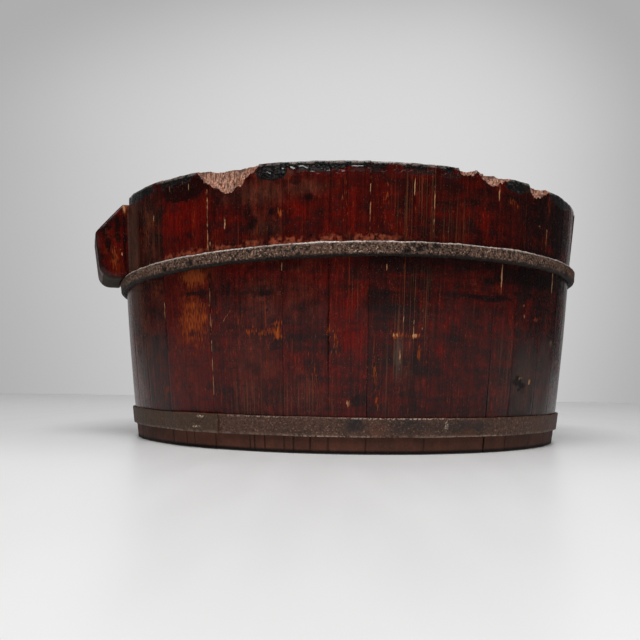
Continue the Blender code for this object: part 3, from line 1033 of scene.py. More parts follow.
print("numbers and colours ready")

# %% Helpers for places


def uv(name):
    return put("UVMap", uv_map=name).outputs[0]


def object_place():
    return put("TexCoord").outputs["Object"]


def split(vector):
    return put("SeparateXYZ", {0: vector}).outputs


def join(x, y, z=0.0):
    return put("CombineXYZ", {"X": x, "Y": y, "Z": z}).outputs[0]


def scaled(vector, scale):
    return put("VectorMath", {0: vector, 1: scale}, operation="MULTIPLY").outputs[0]


def moved(vector, step):
    return put("VectorMath", {0: vector, 1: step}, operation="ADD").outputs[0]


def noise(place, scale, detail, roughness=0.5):
    """Noise with so many lumps to the metre. Three numbers for the scale stretch it."""
    if isinstance(scale, tuple):
        place, scale = scaled(place, scale), 1.0
    sockets = {"Vector": place, "Scale": scale, "Detail": detail, "Roughness": roughness}
    return put("TexNoise", sockets).outputs[0]


def bump(height, distance):
    return put("Bump", {"Height": height, "Distance": distance, "Strength": 1.0}).outputs["Normal"]


print("places ready")

# %% [markdown]
# ## Grain
# Wood grain is long thin streaks. The same group serves the staves and the bottom: it takes a place in
# metres with the fibres along its Y, and gives fine streaks, broad bands and sparse open lines.

# %% Grain group
GRAIN_WANDER = 0.006

grain_place, grain_out = group("wood grain", "Fine", "Broad", "Lines")
grain = bench
wander = noise(grain_place, (40, 9, 1), detail=1)
shifted = moved(grain_place, join(times(wander, GRAIN_WANDER), 0.0))
sparse = noise(shifted, (560, 11, 1.7), detail=1)
plug(grain_out["Fine"], noise(shifted, (620, 15, 1), detail=4, roughness=0.72))
plug(grain_out["Broad"], noise(shifted, (130, 7, 1), detail=2))
plug(grain_out["Lines"], span(sparse, 0.66, 0.76))
print("grain group:", len(grain.nodes), "nodes")

# %% [markdown]
# ## Marks
# The wear of an old tub isn't even: each mark sits where something rubbed, dripped or struck. A mark is a
# soft ellipse at an angle round the tub and a height. Each kind of mark is one group that takes the place on
# the wall. The material warps that place first, or breaks the mask up by noise, so that no mark keeps a
# clean outline. The faces of the lugs are laid out one full turn further on, so their marks have 360
# degrees added.

# %% Marks group
BATCH = 8


def marks_group(name, marks, softness):
    """Marks as (angle in degrees, height in mm, half width in degrees, half height in mm, strength, lean).

    A renderer can hold only a few values at once. Each batch of marks carries the total so far along as its
    unused Z, so that the batches are worked through in turn.
    """
    on_wall, outlet = group(name, "Mask")
    axes = split(on_wall)
    total = 0.0
    for number, (degrees, height, half_width, half_height, strength, *lean) in enumerate(marks):
        centre = Vector((math.radians(degrees) * RIM_RADIUS, height / 1000, 0))
        size = Vector((1 / (math.radians(half_width) * RIM_RADIUS), 1000 / half_height, 0))
        if number % BATCH == 0:
            place = join(axes["X"], axes["Y"], total)
        upright = place
        if lean:
            sockets = {"Vector": place, "Center": centre, "Angle": math.radians(lean[0])}
            upright = put("VectorRotate", sockets, rotation_type="Z_AXIS").outputs[0]
        sockets = {0: upright, 1: size, 2: -centre * size}
        local = put("VectorMath", sockets, operation="MULTIPLY_ADD").outputs[0]
        reach = put("VectorMath", {0: local}, operation="LENGTH").outputs["Value"]
        total = most(total, span(reach, 1 + softness, 1 - softness, 0, strength))
    plug(outlet["Mask"], total)
    print(name + ":", len(marks), "marks")
    return bench


print("marks are worked through", BATCH, "at a time")

# %% [markdown]
# ## Where the tub is marked
# First come the marks of thin and worn lacquer, from the glow of a thin coat to bare wood.

# %% Thin and worn lacquer
GLOWING = (
    (-36, 182, 6, 15, 1.0), (-8, 178, 4, 12, 0.45), (-2, 184, 4, 20, 0.4), (3, 184, 3, 20, 0.3),
    (10, 184, 4, 20, 0.15), (14, 178, 3, 22, 0.2), (-34, 105, 6, 36, 0.5), (-20, 138, 6, 8, 0.45),
    (-5, 130, 8, 8, 0.5), (1, 101, 3.6, 24, 0.65), (8, 60, 4, 30, 0.25), (-10, 60, 10, 26, 0.25),
    (20, 90, 6, 32, 0.25), (35, 100, 4, 32, 0.3), (28, 185, 3, 16, 0.4), (46, 115, 4, 15, 0.35),
    (-47, 138, 4, 10, 0.5), (-24, 172, 4, 10, 0.45), (301.0, 168, 2.2, 26, 0.85), (296, 175, 3, 30, 0.3),
    (-40, 60, 6, 24, 0.3), (138, 180, 6, 16, 0.7), (162, 100, 8, 34, 0.5), (190, 170, 8, 20, 0.5),
    (210, 70, 8, 30, 0.4), (236, 178, 6, 18, 0.6), (250, 110, 8, 34, 0.5), (469, 178, 4, 26, 0.5),
)
AMBER = (
    (-34, 110, 5.0, 36, 0.6), (-33, 139, 4.5, 8, 0.85), (-36, 66, 5, 20, 0.45), (-46, 132, 3, 16, 0.5),
    (-50, 186, 4, 18, 0.4), (-19, 150, 6, 8, 0.4), (301.4, 166, 2.0, 20, 0.55), (29, 128, 6, 6, 0.35),
    (132, 96, 5, 16, 0.6), (172, 134, 5, 14, 0.6), (212, 84, 5, 16, 0.5), (252, 172, 4, 14, 0.5),
)
WORN_TO_ORANGE = (
    (-33.5, 136, 4.0, 8, 0.95), (-34, 101, 4.8, 20, 0.75), (-33, 180, 0.5, 14, 0.5),
    (-31, 105, 1.5, 10, 0.8), (-38.5, 78, 2.5, 8, 0.4), (-35, 76, 3, 10, 0.35), (-16, 91.5, 4, 3.0, 0.75),
    (-13.5, 91, 1.2, 5, 0.9), (-13.8, 98, 1.6, 2.4, 0.6), (-12.8, 182, 0.6, 4, 0.9),
    (-22, 100, 1.5, 12, 0.35), (10.9, 90, 1.4, 2.4, 0.85), (14.5, 90, 1.2, 2.4, 0.85),
    (15.5, 77, 0.4, 5, 0.8), (-1.5, 85, 0.5, 14, 0.6), (36.8, 199.6, 0.9, 2.2, 0.7), (50, 175, 0.6, 8, 0.8),
    (50.5, 204, 0.7, 9, 0.6), (47.8, 109, 1.0, 2, 0.7), (-47, 133, 3, 8, 0.5), (-50, 185, 3, 15, 0.35),
    (26.5, 88, 0.5, 8, 0.4), (6.5, 60, 0.5, 14, 0.6), (7, 40, 0.5, 8, 0.6), (-6, 60, 1.0, 14, 0.4),
    (-3, 93, 0.5, 12, 0.6), (-8, 75, 2.5, 3, 0.3), (39.2, 90, 0.5, 15, 0.4), (0, 190, 0.6, 14, 0.4),
    (-45, 45, 1.2, 12, 0.5), (8, 190, 0.6, 16, 0.4), (29, 190, 0.6, 12, 0.4), (-18, 150, 5, 8, 0.3),
    (38.2, 196, 0.7, 2.5, 0.55), (303.3, 187, 0.3, 7, 0.6, 12), (301.7, 164, 0.9, 15, 0.7),
    # The mark at 299 degrees and 208 mm, high on a lug's side face, is partly wear and partly a painted lit
    # strip.
    (299, 208, 0.7, 7, 0.8), (132, 92, 3, 6, 0.7), (146, 178, 0.6, 14, 0.6), (160, 60, 1.2, 14, 0.5),
    (171, 130, 3, 8, 0.7), (186, 98, 1.6, 10, 0.6), (199, 186, 0.6, 10, 0.7), (212, 80, 2.4, 4, 0.7),
    (226, 140, 0.8, 16, 0.6), (238, 60, 1.0, 12, 0.5), (251, 176, 2, 8, 0.5), (263, 104, 1.2, 12, 0.6),
    (92, 110, 1.5, 10, 0.5), (96, 186, 0.8, 12, 0.5), (466.5, 170, 0.8, 12, 0.6), (473, 186, 0.5, 8, 0.6),
)
FADED_AND_SHEEN = (
    (-59, 165, 4.5, 60, 1.0), (-55, 100, 4, 60, 0.65), (-50, 165, 4, 50, 0.5), (-46, 130, 3, 60, 0.35),
    # The marks near 197 mm, from -24 to -8 degrees, paint a grey sheen of reflected light.
    (-60, 60, 6, 50, 0.6), (-17, 197, 6, 10, 0.6), (-8, 199, 6, 7, 0.5), (-24, 196, 3, 6, 0.4),
    (-16, 172, 4, 16, 0.45), (-17, 115, 5, 22, 0.4), (-18, 60, 6, 42, 0.35), (-8, 45, 5, 22, 0.4),
    (-8, 120, 5, 27, 0.35), (-14, 211, 3, 4, 0.9), (13, 70, 3, 30, 0.3), (45, 50, 5, 24, 0.3),
    (36, 50, 4, 24, 0.2), (150, 60, 8, 40, 0.4), (185, 190, 8, 12, 0.5), (224, 110, 7, 30, 0.4),
    (266, 160, 6, 50, 0.5),
)
LINED = (
    (14, 105, 3.2, 36, 0.9), (10, 60, 2, 30, 0.6), (2, 110, 2.5, 20, 0.4), (15, 190, 5, 28, 0.5),
    (-20, 40, 4, 14, 0.5), (-46, 180, 4, 22, 0.5), (22, 175, 4, 20, 0.4), (-8, 40, 6, 14, 0.4),
    (36, 60, 3, 30, 0.4), (140, 100, 4, 36, 0.7), (196, 60, 4, 30, 0.6), (230, 176, 5, 26, 0.5),
)
PALE = (
    (-29.15, 178, 0.12, 34, 0.7), (-29.05, 96, 0.11, 62, 0.6), (4.85, 190, 0.10, 28, 0.6),
    (4.85, 60, 0.07, 40, 0.3), (13.5, 200, 0.12, 7, 0.8), (17.65, 189, 0.10, 24, 0.6),
    (17.6, 110, 0.06, 50, 0.3), (20.8, 171, 0.10, 4, 0.7), (32.9, 204, 0.15, 6, 0.6),
    (34.7, 139, 0.20, 11, 0.9), (54.7, 141, 0.32, 12, 0.8), (11.5, 72, 0.34, 13, 0.5),
    (10.9, 90.2, 1.1, 1.5, 0.65), (14.5, 90.2, 0.9, 1.5, 0.6), (12, 105, 0.11, 12, 0.6),
    (14.2, 98, 0.08, 14, 0.5), (16, 95, 0.08, 20, 0.4), (-24.9, 176, 0.25, 4, 0.7),
    (-28.9, 161, 0.6, 3.5, 0.6), (-46.5, 191, 0.4, 3, 0.5), (-43.5, 111, 0.18, 8, 0.6),
    (-42.6, 83, 0.15, 6, 0.5, 14), (-24.8, 105, 0.05, 9.5, 0.7, 43), (46.7, 186.5, 0.3, 1.0, 0.9),
    (42.5, 119, 0.25, 0.9, 0.8), (42.9, 110, 0.2, 2.8, 0.6), (47.2, 56.5, 0.7, 1.8, 0.6),
    (43.6, 58.6, 0.9, 1.2, 0.5), (-40.3, 211, 0.10, 4, 0.8), (-36, 212, 0.12, 5, 0.7),
    (-34.2, 210, 0.1, 3, 0.7), (1, 38, 0.4, 2.6, 0.6), (-12.4, 143, 0.11, 10, 0.8),
    (-2.2, 86, 0.06, 12, 0.4, 4), (50, 182, 0.2, 5, 0.6), (57.2, 91, 0.3, 3, 0.6),
    (56.7, 86, 0.25, 1.6, 0.5), (8.3, 140, 0.12, 4, 0.6), (-14.5, 212, 0.5, 3, 0.5),
    (-14.6, 184, 0.2, 1.4, 0.5), (300.3, 171, 0.2, 1.2, 0.6), (300.0, 166, 0.25, 1.5, 0.6),
    # The mark at 299.3 degrees and 209 mm, on a lug's side face, is partly a pale line and partly a painted
    # lit strip.
    (299.3, 209, 0.35, 6, 0.8), (130, 180, 0.10, 26, 0.6), (154.9, 90, 0.08, 40, 0.4),
    (177.8, 188, 0.11, 22, 0.6), (204.7, 110, 0.07, 45, 0.35), (217.7, 185, 0.10, 26, 0.6),
    (242.6, 176, 0.12, 18, 0.6), (256.6, 84, 0.08, 36, 0.4), (191, 66, 0.3, 12, 0.6),
    (236.5, 112, 0.12, 12, 0.6, 12), (166.2, 101, 0.06, 10, 0.7, 38),
)
glow_marks = marks_group("thin bright lacquer", GLOWING, 0.9)
amber_marks = marks_group("thin amber lacquer", AMBER, 0.9)
worn_marks = marks_group("worn to orange", WORN_TO_ORANGE, 0.9)
faded_and_sheen_marks = marks_group("faded lacquer", FADED_AND_SHEEN, 0.9)
lined_marks = marks_group("fine open lines", LINED, 0.8)
pale_marks = marks_group("pale lines", PALE, 0.7)

# %% [markdown]
# Then come the marks of what lies on the lacquer: smoke, grey dirt, and scraps of an older black coat.

# %% Smoke, dirt and black lacquer
SMOKED = (
    (-36, 208, 7.2, 10, 1.0), (-33, 123.5, 4.2, 2.4, 0.7), (-31, 121, 1.6, 3.0, 0.6),
    (-24.8, 128, 1.3, 9, 0.6), (-19, 120.5, 6, 2.0, 0.5), (-18.5, 175, 1.2, 6, 0.6), (-20, 186, 2, 10, 0.4),
    (57, 190, 6, 26, 0.85), (32, 121, 7, 2, 0.9), (45, 141, 14, 8, 0.75), (26, 144, 10, 3, 0.5),
    (34, 136, 8, 2.2, 0.55), (46, 128, 9, 2.2, 0.5), (3, 41, 2, 6, 0.7), (-50, 118, 2, 10, 0.4),
    (-36, 168, 3.5, 6, 0.5), (60, 67, 1.5, 3, 0.9), (-7, 192, 0.9, 3, 0.7), (-6.6, 164.5, 0.3, 1.1, 1.0),
    (-15.7, 108.6, 0.35, 0.9, 1.0), (49, 41, 0.5, 2.5, 1.0), (41.2, 56.8, 0.7, 1.7, 1.0),
    (42.7, 56.5, 0.8, 1.9, 1.0), (42.6, 57.2, 1.3, 3.2, 0.95), (44.4, 54.6, 1.5, 2.6, 0.7),
    (43.2, 51, 0.8, 1.6, 0.6), (57.5, 80, 1.0, 5, 0.8), (8.5, 113, 3.4, 10, 0.4), (9, 121, 3.6, 1.2, 0.5),
    (-14.3, 183, 0.7, 3, 0.6), (45, 48, 4, 10, 0.3), (-26, 60, 6, 20, 0.2), (25, 150, 10, 6, 0.35),
    (59.5, 120, 3, 50, 0.5), (47, 192, 6, 24, 0.45), (303, 175, 0.8, 6, 0.9), (300.8, 190, 0.8, 14, 0.8),
    (304.5, 196, 2.5, 14, 0.8), (302, 184, 7, 40, 0.3), (288, 130, 40, 14, 0.9), (297, 160, 1.2, 40, 0.6),
    (299.3, 178, 0.45, 30, 0.7), (305, 160, 0.9, 14, 0.6), (125, 208, 6, 9, 0.8), (152, 120, 4, 5, 0.6),
    (180, 205, 9, 10, 0.8), (205, 150, 8, 6, 0.5), (222, 44, 3, 6, 0.6), (246, 196, 5, 20, 0.6),
    (258, 70, 2, 6, 0.6), (469, 150, 9, 8, 0.7), (476, 180, 1.5, 30, 0.6),
)
GREYED = (
    (45, 55, 4.4, 28, 0.75), (11.2, 74, 0.8, 16, 0.75), (57, 90, 1.2, 4, 0.8), (54, 60, 3.5, 30, 0.45),
    (-49, 60, 6, 30, 0.3), (-59.5, 168, 4.2, 46, 0.5), (289, 170, 7.5, 60, 0.7), (306, 165, 0.8, 24, 0.8),
    (208, 50, 4, 26, 0.5), (156, 170, 3, 18, 0.35), (469, 168, 5, 40, 0.5),
)
BLACK = (
    (-54, 215, 8, 5, 0.7), (-6, 217.5, 11, 4.5, 1.0), (-14, 212, 3, 6, 0.9), (-39, 216, 4, 3, 0.7),
    (37.7, 214, 2.8, 5, 1.0), (57, 215, 6, 5, 0.8), (88, 216, 7, 5, 0.7), (150, 217, 9, 4.5, 0.9),
    (200, 216, 7, 5, 0.8), (236, 217, 8, 4, 0.9), (262, 215, 6, 5, 0.7),
)
smoke_marks = marks_group("smoked patches", SMOKED, 0.5)
grey_marks = marks_group("greyed patches", GREYED, 0.5)
black_marks = marks_group("black lacquer patches", BLACK, 0.6)

# %% [markdown]
# ## Red lacquer
# The staves wear a thin, see-through red lacquer over vertical grain. Light goes through it and comes back
# deep red, so the colour is dark and the gloss lies on top as a clear coat. The finish is mixed in steps.
# The noises come first, because they break up all the wear. Most are stretched along the grain, and they
# differ from board to board.

# %% Noises of the red lacquer
# How far the outlines of marks are shifted to and fro, across the grain and along it.
WARP_ACROSS = 0.006
WARP_ALONG = 0.010


def stave_places():
    """Place on the board, its parts, distances to joint and hoop, tone, and a place of the board's own."""
    place = uv("board")
    where = split(place)
    fit = split(uv("fit"))
    tone = split(uv("tone"))
    return place, where, fit, tone, join(where["X"], where["Y"], tone["Y"])


shader = start(red_lacquer)
place, where, fit, tone, seeded = stave_places()
streaks = use(grain, seeded)
cloud = noise(seeded, (30, 16, 1), detail=3)
blotch = noise(seeded, (55, 95, 1), detail=3, roughness=0.6)
mottle = noise(seeded, (170, 130, 1), detail=4, roughness=0.65)
fibre = noise(seeded, (800, 30, 1), detail=2)
hairs = noise(seeded, (1000, 9, 1), detail=2)
tick = noise(seeded, (1200, 180, 1), detail=2)
patch = noise(seeded, (80, 52, 1), detail=5, roughness=0.68)
strata = noise(seeded, (14, 150, 1), detail=3, roughness=0.6)
lumps = noise(seeded, (260, 240, 1), detail=3)
broken = noise(seeded, (260, 80, 1), detail=3, roughness=0.65)
cracks = noise(seeded, (210, 6, 1), detail=1)
crackle = put("TexVoronoi", {"Vector": seeded, "Scale": 420.0}, feature="DISTANCE_TO_EDGE").outputs[0]
sideways = times_plus(mottle, WARP_ACROSS, -WARP_ACROSS / 2)
warp = join(sideways, times_plus(blotch, WARP_ALONG, -WARP_ALONG / 2))
ragged = moved(place, warp)
frayed = moved(scaled(warp, (0.5, 0.8, 0)), place)
slight = moved(scaled(warp, (0.10, 0.8, 0)), place)
print("noises:", len(bench.nodes), "nodes")

# %% [markdown]
# A thick coat is nearly black and a thin one glows red, or amber where hardly any is left. Daylight has
# faded some of it, and a few of the same marks paint a grey sheen high on the front. Fine streaks of grain,
# dark ticks and open orange lines lie over that.

# %% Colour of the coat
redness = times_plus(patch, 2.3, minus(tone["X"], 1.12))
redness = times_plus(strata, 2.0, minus(redness, 1.0), clamp=True)
colour = mix(redness, paint(33, 11, 10), paint(76, 11, 6))
glow = torn(use(glow_marks, ragged)[0], patch, 1.8, 0.1, 0.9)
colour = mix(times(glow, 0.85), colour, paint(96, 10, 5))
amber = torn(use(amber_marks, ragged)[0], patch, 2.8, 0.2, 1.0)
colour = mix(times(amber, 0.75), colour, paint(94, 34, 9))
# This fading also paints a grey sheen of reflected light high on the front.
faded_and_sheen = torn(use(faded_and_sheen_marks, ragged)[0], patch, 1.2, 0.1, 0.9)
colour = mix(times(faded_and_sheen, 0.75), colour, paint(91, 49, 37))
lighter = mix(1.0, colour, (1.5, 1.55, 1.4, 1), "MULTIPLY")
darker = mix(1.0, colour, (0.6, 0.63, 0.65, 1), "MULTIPLY")
colour = mix(span(streaks["Fine"], 0.30, 0.70), darker, lighter)
colour = mix(span(tick, 0.46, 0.30, 0, 0.5), colour, paint(24, 7, 7))
colour = mix(span(blotch, 0.54, 0.66, 0, 0.55), colour, paint(32, 14, 14))
open_line = times(streaks["Lines"], span(blotch, 0.42, 0.56, 0.0, 0.9))
colour = mix(times(open_line, 0.55), colour, paint(136, 48, 14))
hairs = times(span(hairs, 0.57, 0.66), use(lined_marks, ragged)[0])
colour = mix(times(hairs, 0.6), colour, paint(128, 84, 54))
nicks = times(span(tick, 0.63, 0.72), span(patch, 0.46, 0.58, 0.05, 0.8))
colour = mix(nicks, colour, paint(134, 44, 11))
print("coat:", len(bench.nodes), "nodes")

# %% [markdown]
# Hands and cloths have rubbed the coat to orange. Smoke and dirt have darkened it, and just below the hoop
# it is darkened further by dirt and painted shade. The underside of the lugs is bare and grey.

# %% Rubbed, smoked and greyed
# Distances from the hoop's top edge, places along the rim, and heights, between which dirt and painted shade
# come in.
BELOW_HOOP = (-0.028, -0.013)
AT_HOOP = (0.0, -0.008)
RIGHT_OF_FRONT = (0.0, 0.03)
UNDER_LUG = (0.1465, 0.1435)

rubbed = torn(use(worn_marks, ragged)[0], tick, 2.4, 0.45, 1.0)
strewn = times(span(mottle, 0.58, 0.68), span(cloud, 0.54, 0.66, 0, 0.6))
worn = most(rubbed, times(strewn, span(tick, 0.48, 0.60)))
colour = mix(times(worn, 0.85), colour, mix(fibre, paint(116, 38, 10), paint(180, 88, 28)))
grey = times(use(grey_marks, ragged)[0], span(mottle, 0.3, 0.6, 0.5, 1))
colour = mix(times(grey, 0.7), colour, paint(78, 70, 64))
smoke_and_shade = torn(use(smoke_marks, frayed)[0], mottle, 1.5, 0.2, 0.75)
# Dirt and painted shade darken the wall just below the hoop, more to the right of the front.
hoop_dirt_and_shade = times(span(fit["Y"], *BELOW_HOOP), span(fit["Y"], *AT_HOOP))
hoop_dirt_and_shade = times(hoop_dirt_and_shade, span(where["X"], *RIGHT_OF_FRONT, 0.1, 0.75))
smoke_and_shade = most(smoke_and_shade, span(cloud, 0.60, 0.78, 0, 0.6), hoop_dirt_and_shade)
colour = mix(times(smoke_and_shade, 0.85), colour, paint(17, 7, 7))
lug_edge = HANDLE_AZIMUTH - HANDLE_WIDTH / RIM_RADIUS / 2 + FULL_TURN
under_lug = times(calc("GREATER_THAN", where["X"], lug_edge * RIM_RADIUS), span(where["Y"], *UNDER_LUG))
colour = mix(times(under_lug, 0.85), colour, paint(50, 44, 34))
print("rubbed and smoked:", len(bench.nodes), "nodes")

# %% [markdown]
# The foot stood in water: it is grey-brown and split along the grain, and its very end is painted black as a
# contact shadow. Rust from the hoop has stained the wall above it. Cream wood shows in thin lines along the
# joints.

# %% Foot, rust and pale lines
# Heights, distances from a joint or from the hoop's top edge, and places along the rim.
FOOT_ZONE = (0.020, 0.010)
CONTACT_SHADE_ZONE = (0.0040, 0.0018)
SPLIT_JOINT = (0.0012, 0.0005)
DARK_SEAM = (0.0009, 0.0004)
RUST_ABOVE_HOOP = (0.008, 0.003)
RUST_LEFT = (-0.18, -0.16)
RUST_RIGHT = (0.06, 0.02)
HOOP_UPPER_EDGE = -0.002
# How fast the rust thins out, for each metre above that edge.
RUST_FADE = -34.0

foot = span(times_plus(mottle, 0.4, span(where["Y"], *FOOT_ZONE)), 0.35, 0.9)
foot_tone = times_plus(patch, 1.2, times_plus(tone["X"], 0.5, -0.35), clamp=True)
colour = mix(times(foot, 0.82), colour, mix(foot_tone, paint(57, 39, 31), paint(108, 67, 52)))
splits = times(most(span(cracks, 0.66, 0.70), span(fit["X"], *SPLIT_JOINT, 0, 0.45)), foot)
colour = mix(times(splits, 0.7), colour, paint(14, 8, 6))
# Painted contact shadow: the lowest few millimetres of the foot are painted black.
contact_shade = span(where["Y"], *CONTACT_SHADE_ZONE)
colour = mix(contact_shade, colour, paint(14, 9, 8))
rust = times(
    span(fit["Y"], *RUST_ABOVE_HOOP),
    span(where["X"], *RUST_RIGHT),
    span(where["X"], *RUST_LEFT),
    calc("GREATER_THAN", fit["Y"], HOOP_UPPER_EDGE),
    span(patch, 0.38, 0.58, 0.1, 1),
    span(times_plus(fit["Y"], RUST_FADE, lumps), 0.27, 0.40),
)
colour = mix(rust, colour, mix(span(lumps, 0.35, 0.65), paint(80, 27, 15), paint(162, 78, 50)))
seam = times(span(fit["X"], *DARK_SEAM), span(cloud, 0.35, 0.6))
colour = mix(times(seam, 0.2), colour, paint(14, 6, 5))
pale = torn(use(pale_marks, slight)[0], times_plus(tick, 0.5, times(broken, 0.5)), 3.4, 0.45, 0.75)
colour = mix(times(pale, 0.85), colour, mix(fibre, paint(150, 74, 34), paint(214, 176, 128)))
print("foot and rust:", len(bench.nodes), "nodes")

# %% [markdown]
# Scraps of an older black coat hang on at the rim. Use has worn the rim's top to dull wood, and a pale line
# along its outer edge is a painted highlight.

# %% Rim
# Heights up the board, on over the rim's top, between which each kind of wear, and the painted highlight,
# comes in or fades.
RIM_SCRAPS = (0.209, 0.217)
RIM_BARE = (0.2165, 0.2195)
RIM_TOP = (0.2205, 0.2230)
RIM_GLOSS = (0.2150, 0.2180)
RIM_HIGHLIGHT_LOW = (0.2168, 0.2180)
RIM_HIGHLIGHT_HIGH = (0.2215, 0.2203)

rim_scraps = times(span(where["Y"], *RIM_SCRAPS), span(blotch, 0.50, 0.56))
black = most(torn(use(black_marks, slight)[0], mottle, 1.6, 0.35, 0.5), rim_scraps)
colour = mix(black, colour, mix(span(mottle, 0.5, 0.7), paint(13, 10, 10), paint(36, 26, 24)))
rim_top = span(where["Y"], *RIM_TOP)
rim_bare = times(span(where["Y"], *RIM_BARE), span(mottle, 0.56, 0.66))
rim_bare = most(rim_bare, times(rim_top, span(mottle, 0.36, 0.60, 0.2, 0.9)))
colour = mix(times(rim_bare, 0.8), colour, paint(96, 62, 46))
# Painted highlight: a pale line along the rim's rounded outer edge.
rim_highlight = times(span(where["Y"], *RIM_HIGHLIGHT_LOW), span(where["Y"], *RIM_HIGHLIGHT_HIGH))
rim_highlight = times(rim_highlight, span(mottle, 0.42, 0.54, 0, 0.45))
colour = mix(rim_highlight, colour, paint(160, 146, 138))
flecks = span(noise(place, 1400.0, detail=0), 0.77, 0.80)
colour = mix(times(flecks, 0.4), colour, paint(150, 128, 110))
print("rim:", len(bench.nodes), "nodes")

# %% [markdown]
# Bare wood and dirt are dull, and the black coat is glossy and blistered. The clear coat is strongest there.

# %% Gloss of the red lacquer
rim_gloss = times(span(where["Y"], *RIM_GLOSS), minus(1.0, rim_top))
dull = most(worn, rust, pale, rim_bare, grey, foot, contact_shade)
rough = times_plus(dull, 0.35, times_plus(mottle, 0.20, 0.17))
rough = minus(rough, times(black, 0.05))
rough = times_plus(under_lug, 0.4, rough, clamp=True)
clear = times_plus(most(black, rim_gloss), 0.6, times_plus(glow, -0.12, 0.14))
clear = times_plus(most(dull, under_lug), -0.3, clear, clamp=True)
relief = times_plus(streaks["Fine"], 0.5, times(mottle, 0.5))
blistered = times_plus(lumps, 6.0, span(crackle, 0.0, 0.12, 0, 1.2))
relief = times_plus(black, blistered, relief)
wire(shader, Base_Color=colour, Roughness=rough, Coat_Weight=clear, Coat_Roughness=0.08,
     Specular_IOR_Level=0.12, Normal=bump(relief, distance=0.0004))
shader.distribution = "GGX"
print("red lacquer:", len(bench.nodes), "nodes")

# %% [markdown]
# ## Inside, foot and broken wood
# The scraps at the rim suggest that the inside was lacquered black. Water has worn it to brown along the
# grain and left a tide line. The foot shows end grain, soaked dark. The chips show dry fibres, pinkish and
# pale.

# %% Mix the inner lacquer
# Heights, which wander up and down.
TIDE_LOW = (0.118, 0.126)
TIDE_HIGH = (0.134, 0.127)
SOAKED_ZONE = (0.128, 0.116)
TIDE_WANDER = 0.030
# Distances from a joint between which the seam darkens.
INNER_SEAM = (0.0016, 0.0006)

shader = start(inner_lacquer)
_, where, fit, _, seeded = stave_places()
streaks = use(grain, seeded)
cloud = noise(seeded, (30, 14, 1), detail=3)
mottle = noise(seeded, (150, 60, 1), detail=3, roughness=0.6)
colour = mix(cloud, paint(20, 13, 12), paint(52, 30, 24))
thin = times(span(cloud, 0.46, 0.64), span(streaks["Fine"], 0.4, 0.62))
colour = mix(thin, colour, paint(98, 62, 42))
colour = mix(times(streaks["Lines"], 0.5), colour, paint(118, 78, 52))
tide_level = times_plus(cloud, TIDE_WANDER, where["Y"])
tide = times(span(tide_level, *TIDE_LOW), span(tide_level, *TIDE_HIGH))
soaked = span(tide_level, *SOAKED_ZONE, 0, 0.45)
colour = mix(soaked, colour, paint(62, 46, 36))
colour = mix(times(tide, 0.5), colour, paint(126, 108, 88))
seam = span(fit["X"], *INNER_SEAM)
colour = mix(times(seam, 0.75), colour, paint(10, 7, 6))
rough = times_plus(thin, 0.2, times_plus(soaked, 0.35, 0.36))
relief = times_plus(streaks["Fine"], 0.8, times(mottle, 0.4))
wire(shader, Base_Color=colour, Roughness=rough, Normal=bump(relief, distance=0.0006))
print("inner lacquer:", len(bench.nodes), "nodes")

# %% Mix the end grain
shader = start(end_grain)
place = object_place()
pores = noise(place, 900.0, detail=2)
rings = noise(place, (160, 160, 20), detail=3)
colour = mix(rings, paint(34, 24, 19), paint(84, 60, 44))
colour = mix(span(pores, 0.56, 0.68), colour, paint(16, 11, 9))
relief = minus(rings, times(pores, 0.7))
wire(shader, Base_Color=colour, Roughness=times_plus(rings, 0.2, 0.65), Normal=bump(relief, distance=0.0006))
print("end grain:", len(bench.nodes), "nodes")

# %% Mix the torn wood
shader = start(torn_wood)
place = object_place()
fibres = noise(place, (800, 800, 60), detail=3, roughness=0.6)
splinters = noise(place, (300, 300, 22), detail=2)
stain = noise(place, 90.0, detail=3)
colour = mix(span(fibres, 0.34, 0.66), paint(74, 40, 27), paint(204, 152, 128))
colour = mix(span(splinters, 0.50, 0.62, 0, 0.8), colour, paint(136, 76, 40))
colour = mix(span(stain, 0.52, 0.68, 0, 0.75), colour, paint(66, 38, 28))
relief = calc("ADD", fibres, splinters)
wire(shader, Base_Color=colour, Roughness=times_plus(stain, -0.3, 0.9), Normal=bump(relief, distance=0.0012))
print("torn wood:", len(bench.nodes), "nodes")

# %% [markdown]
# ## Iron
# Both irons are brown with rust under old polish. The forged bar is coarse, with pits that hold black scale.
# Its upper edge is rubbed bright and painted pale as a highlight, and its lower edge is painted dark as
# shade. The strip is smoother, olive to the left of its outer end and more purple to the right, with black
# patches where lacquer or scale is left, and pale lines along its edges that are partly rubs and partly
# painted highlights.

# %% Mix the forged iron
# Half width in degrees, half height in millimetres and strength of a pit's dark mark.
PIT_MARK = (0.9, 2.2, 0.9)

pit_rows = [(degrees, up * HOOP_HEIGHT * 1000, *PIT_MARK) for degrees, up in HOOP_PITS]
pit_marks = marks_group("pits of the hoop", pit_rows, 0.5)
shader = start(forged_iron)
place = object_place()
share = split(uv("share"))
pits = use(pit_marks, uv("bar"))[0]
coarse = noise(place, 420.0, detail=3, roughness=0.6)
grit = noise(place, 720.0, detail=3, roughness=0.7)
cloud = noise(place, 26.0, detail=3)
height = times_plus(grit, 0.6, times(coarse, 0.4))
colour = mix(span(height, 0.40, 0.60), paint(22, 14, 10), paint(119, 89, 73))
colour = mix(span(grit, 0.58, 0.68, 0, 0.85), colour, paint(204, 178, 158))
colour = mix(span(coarse, 0.43, 0.34), colour, paint(14, 9, 7))
colour = mix(span(cloud, 0.5, 0.66, 0, 0.45), colour, paint(84, 50, 32))
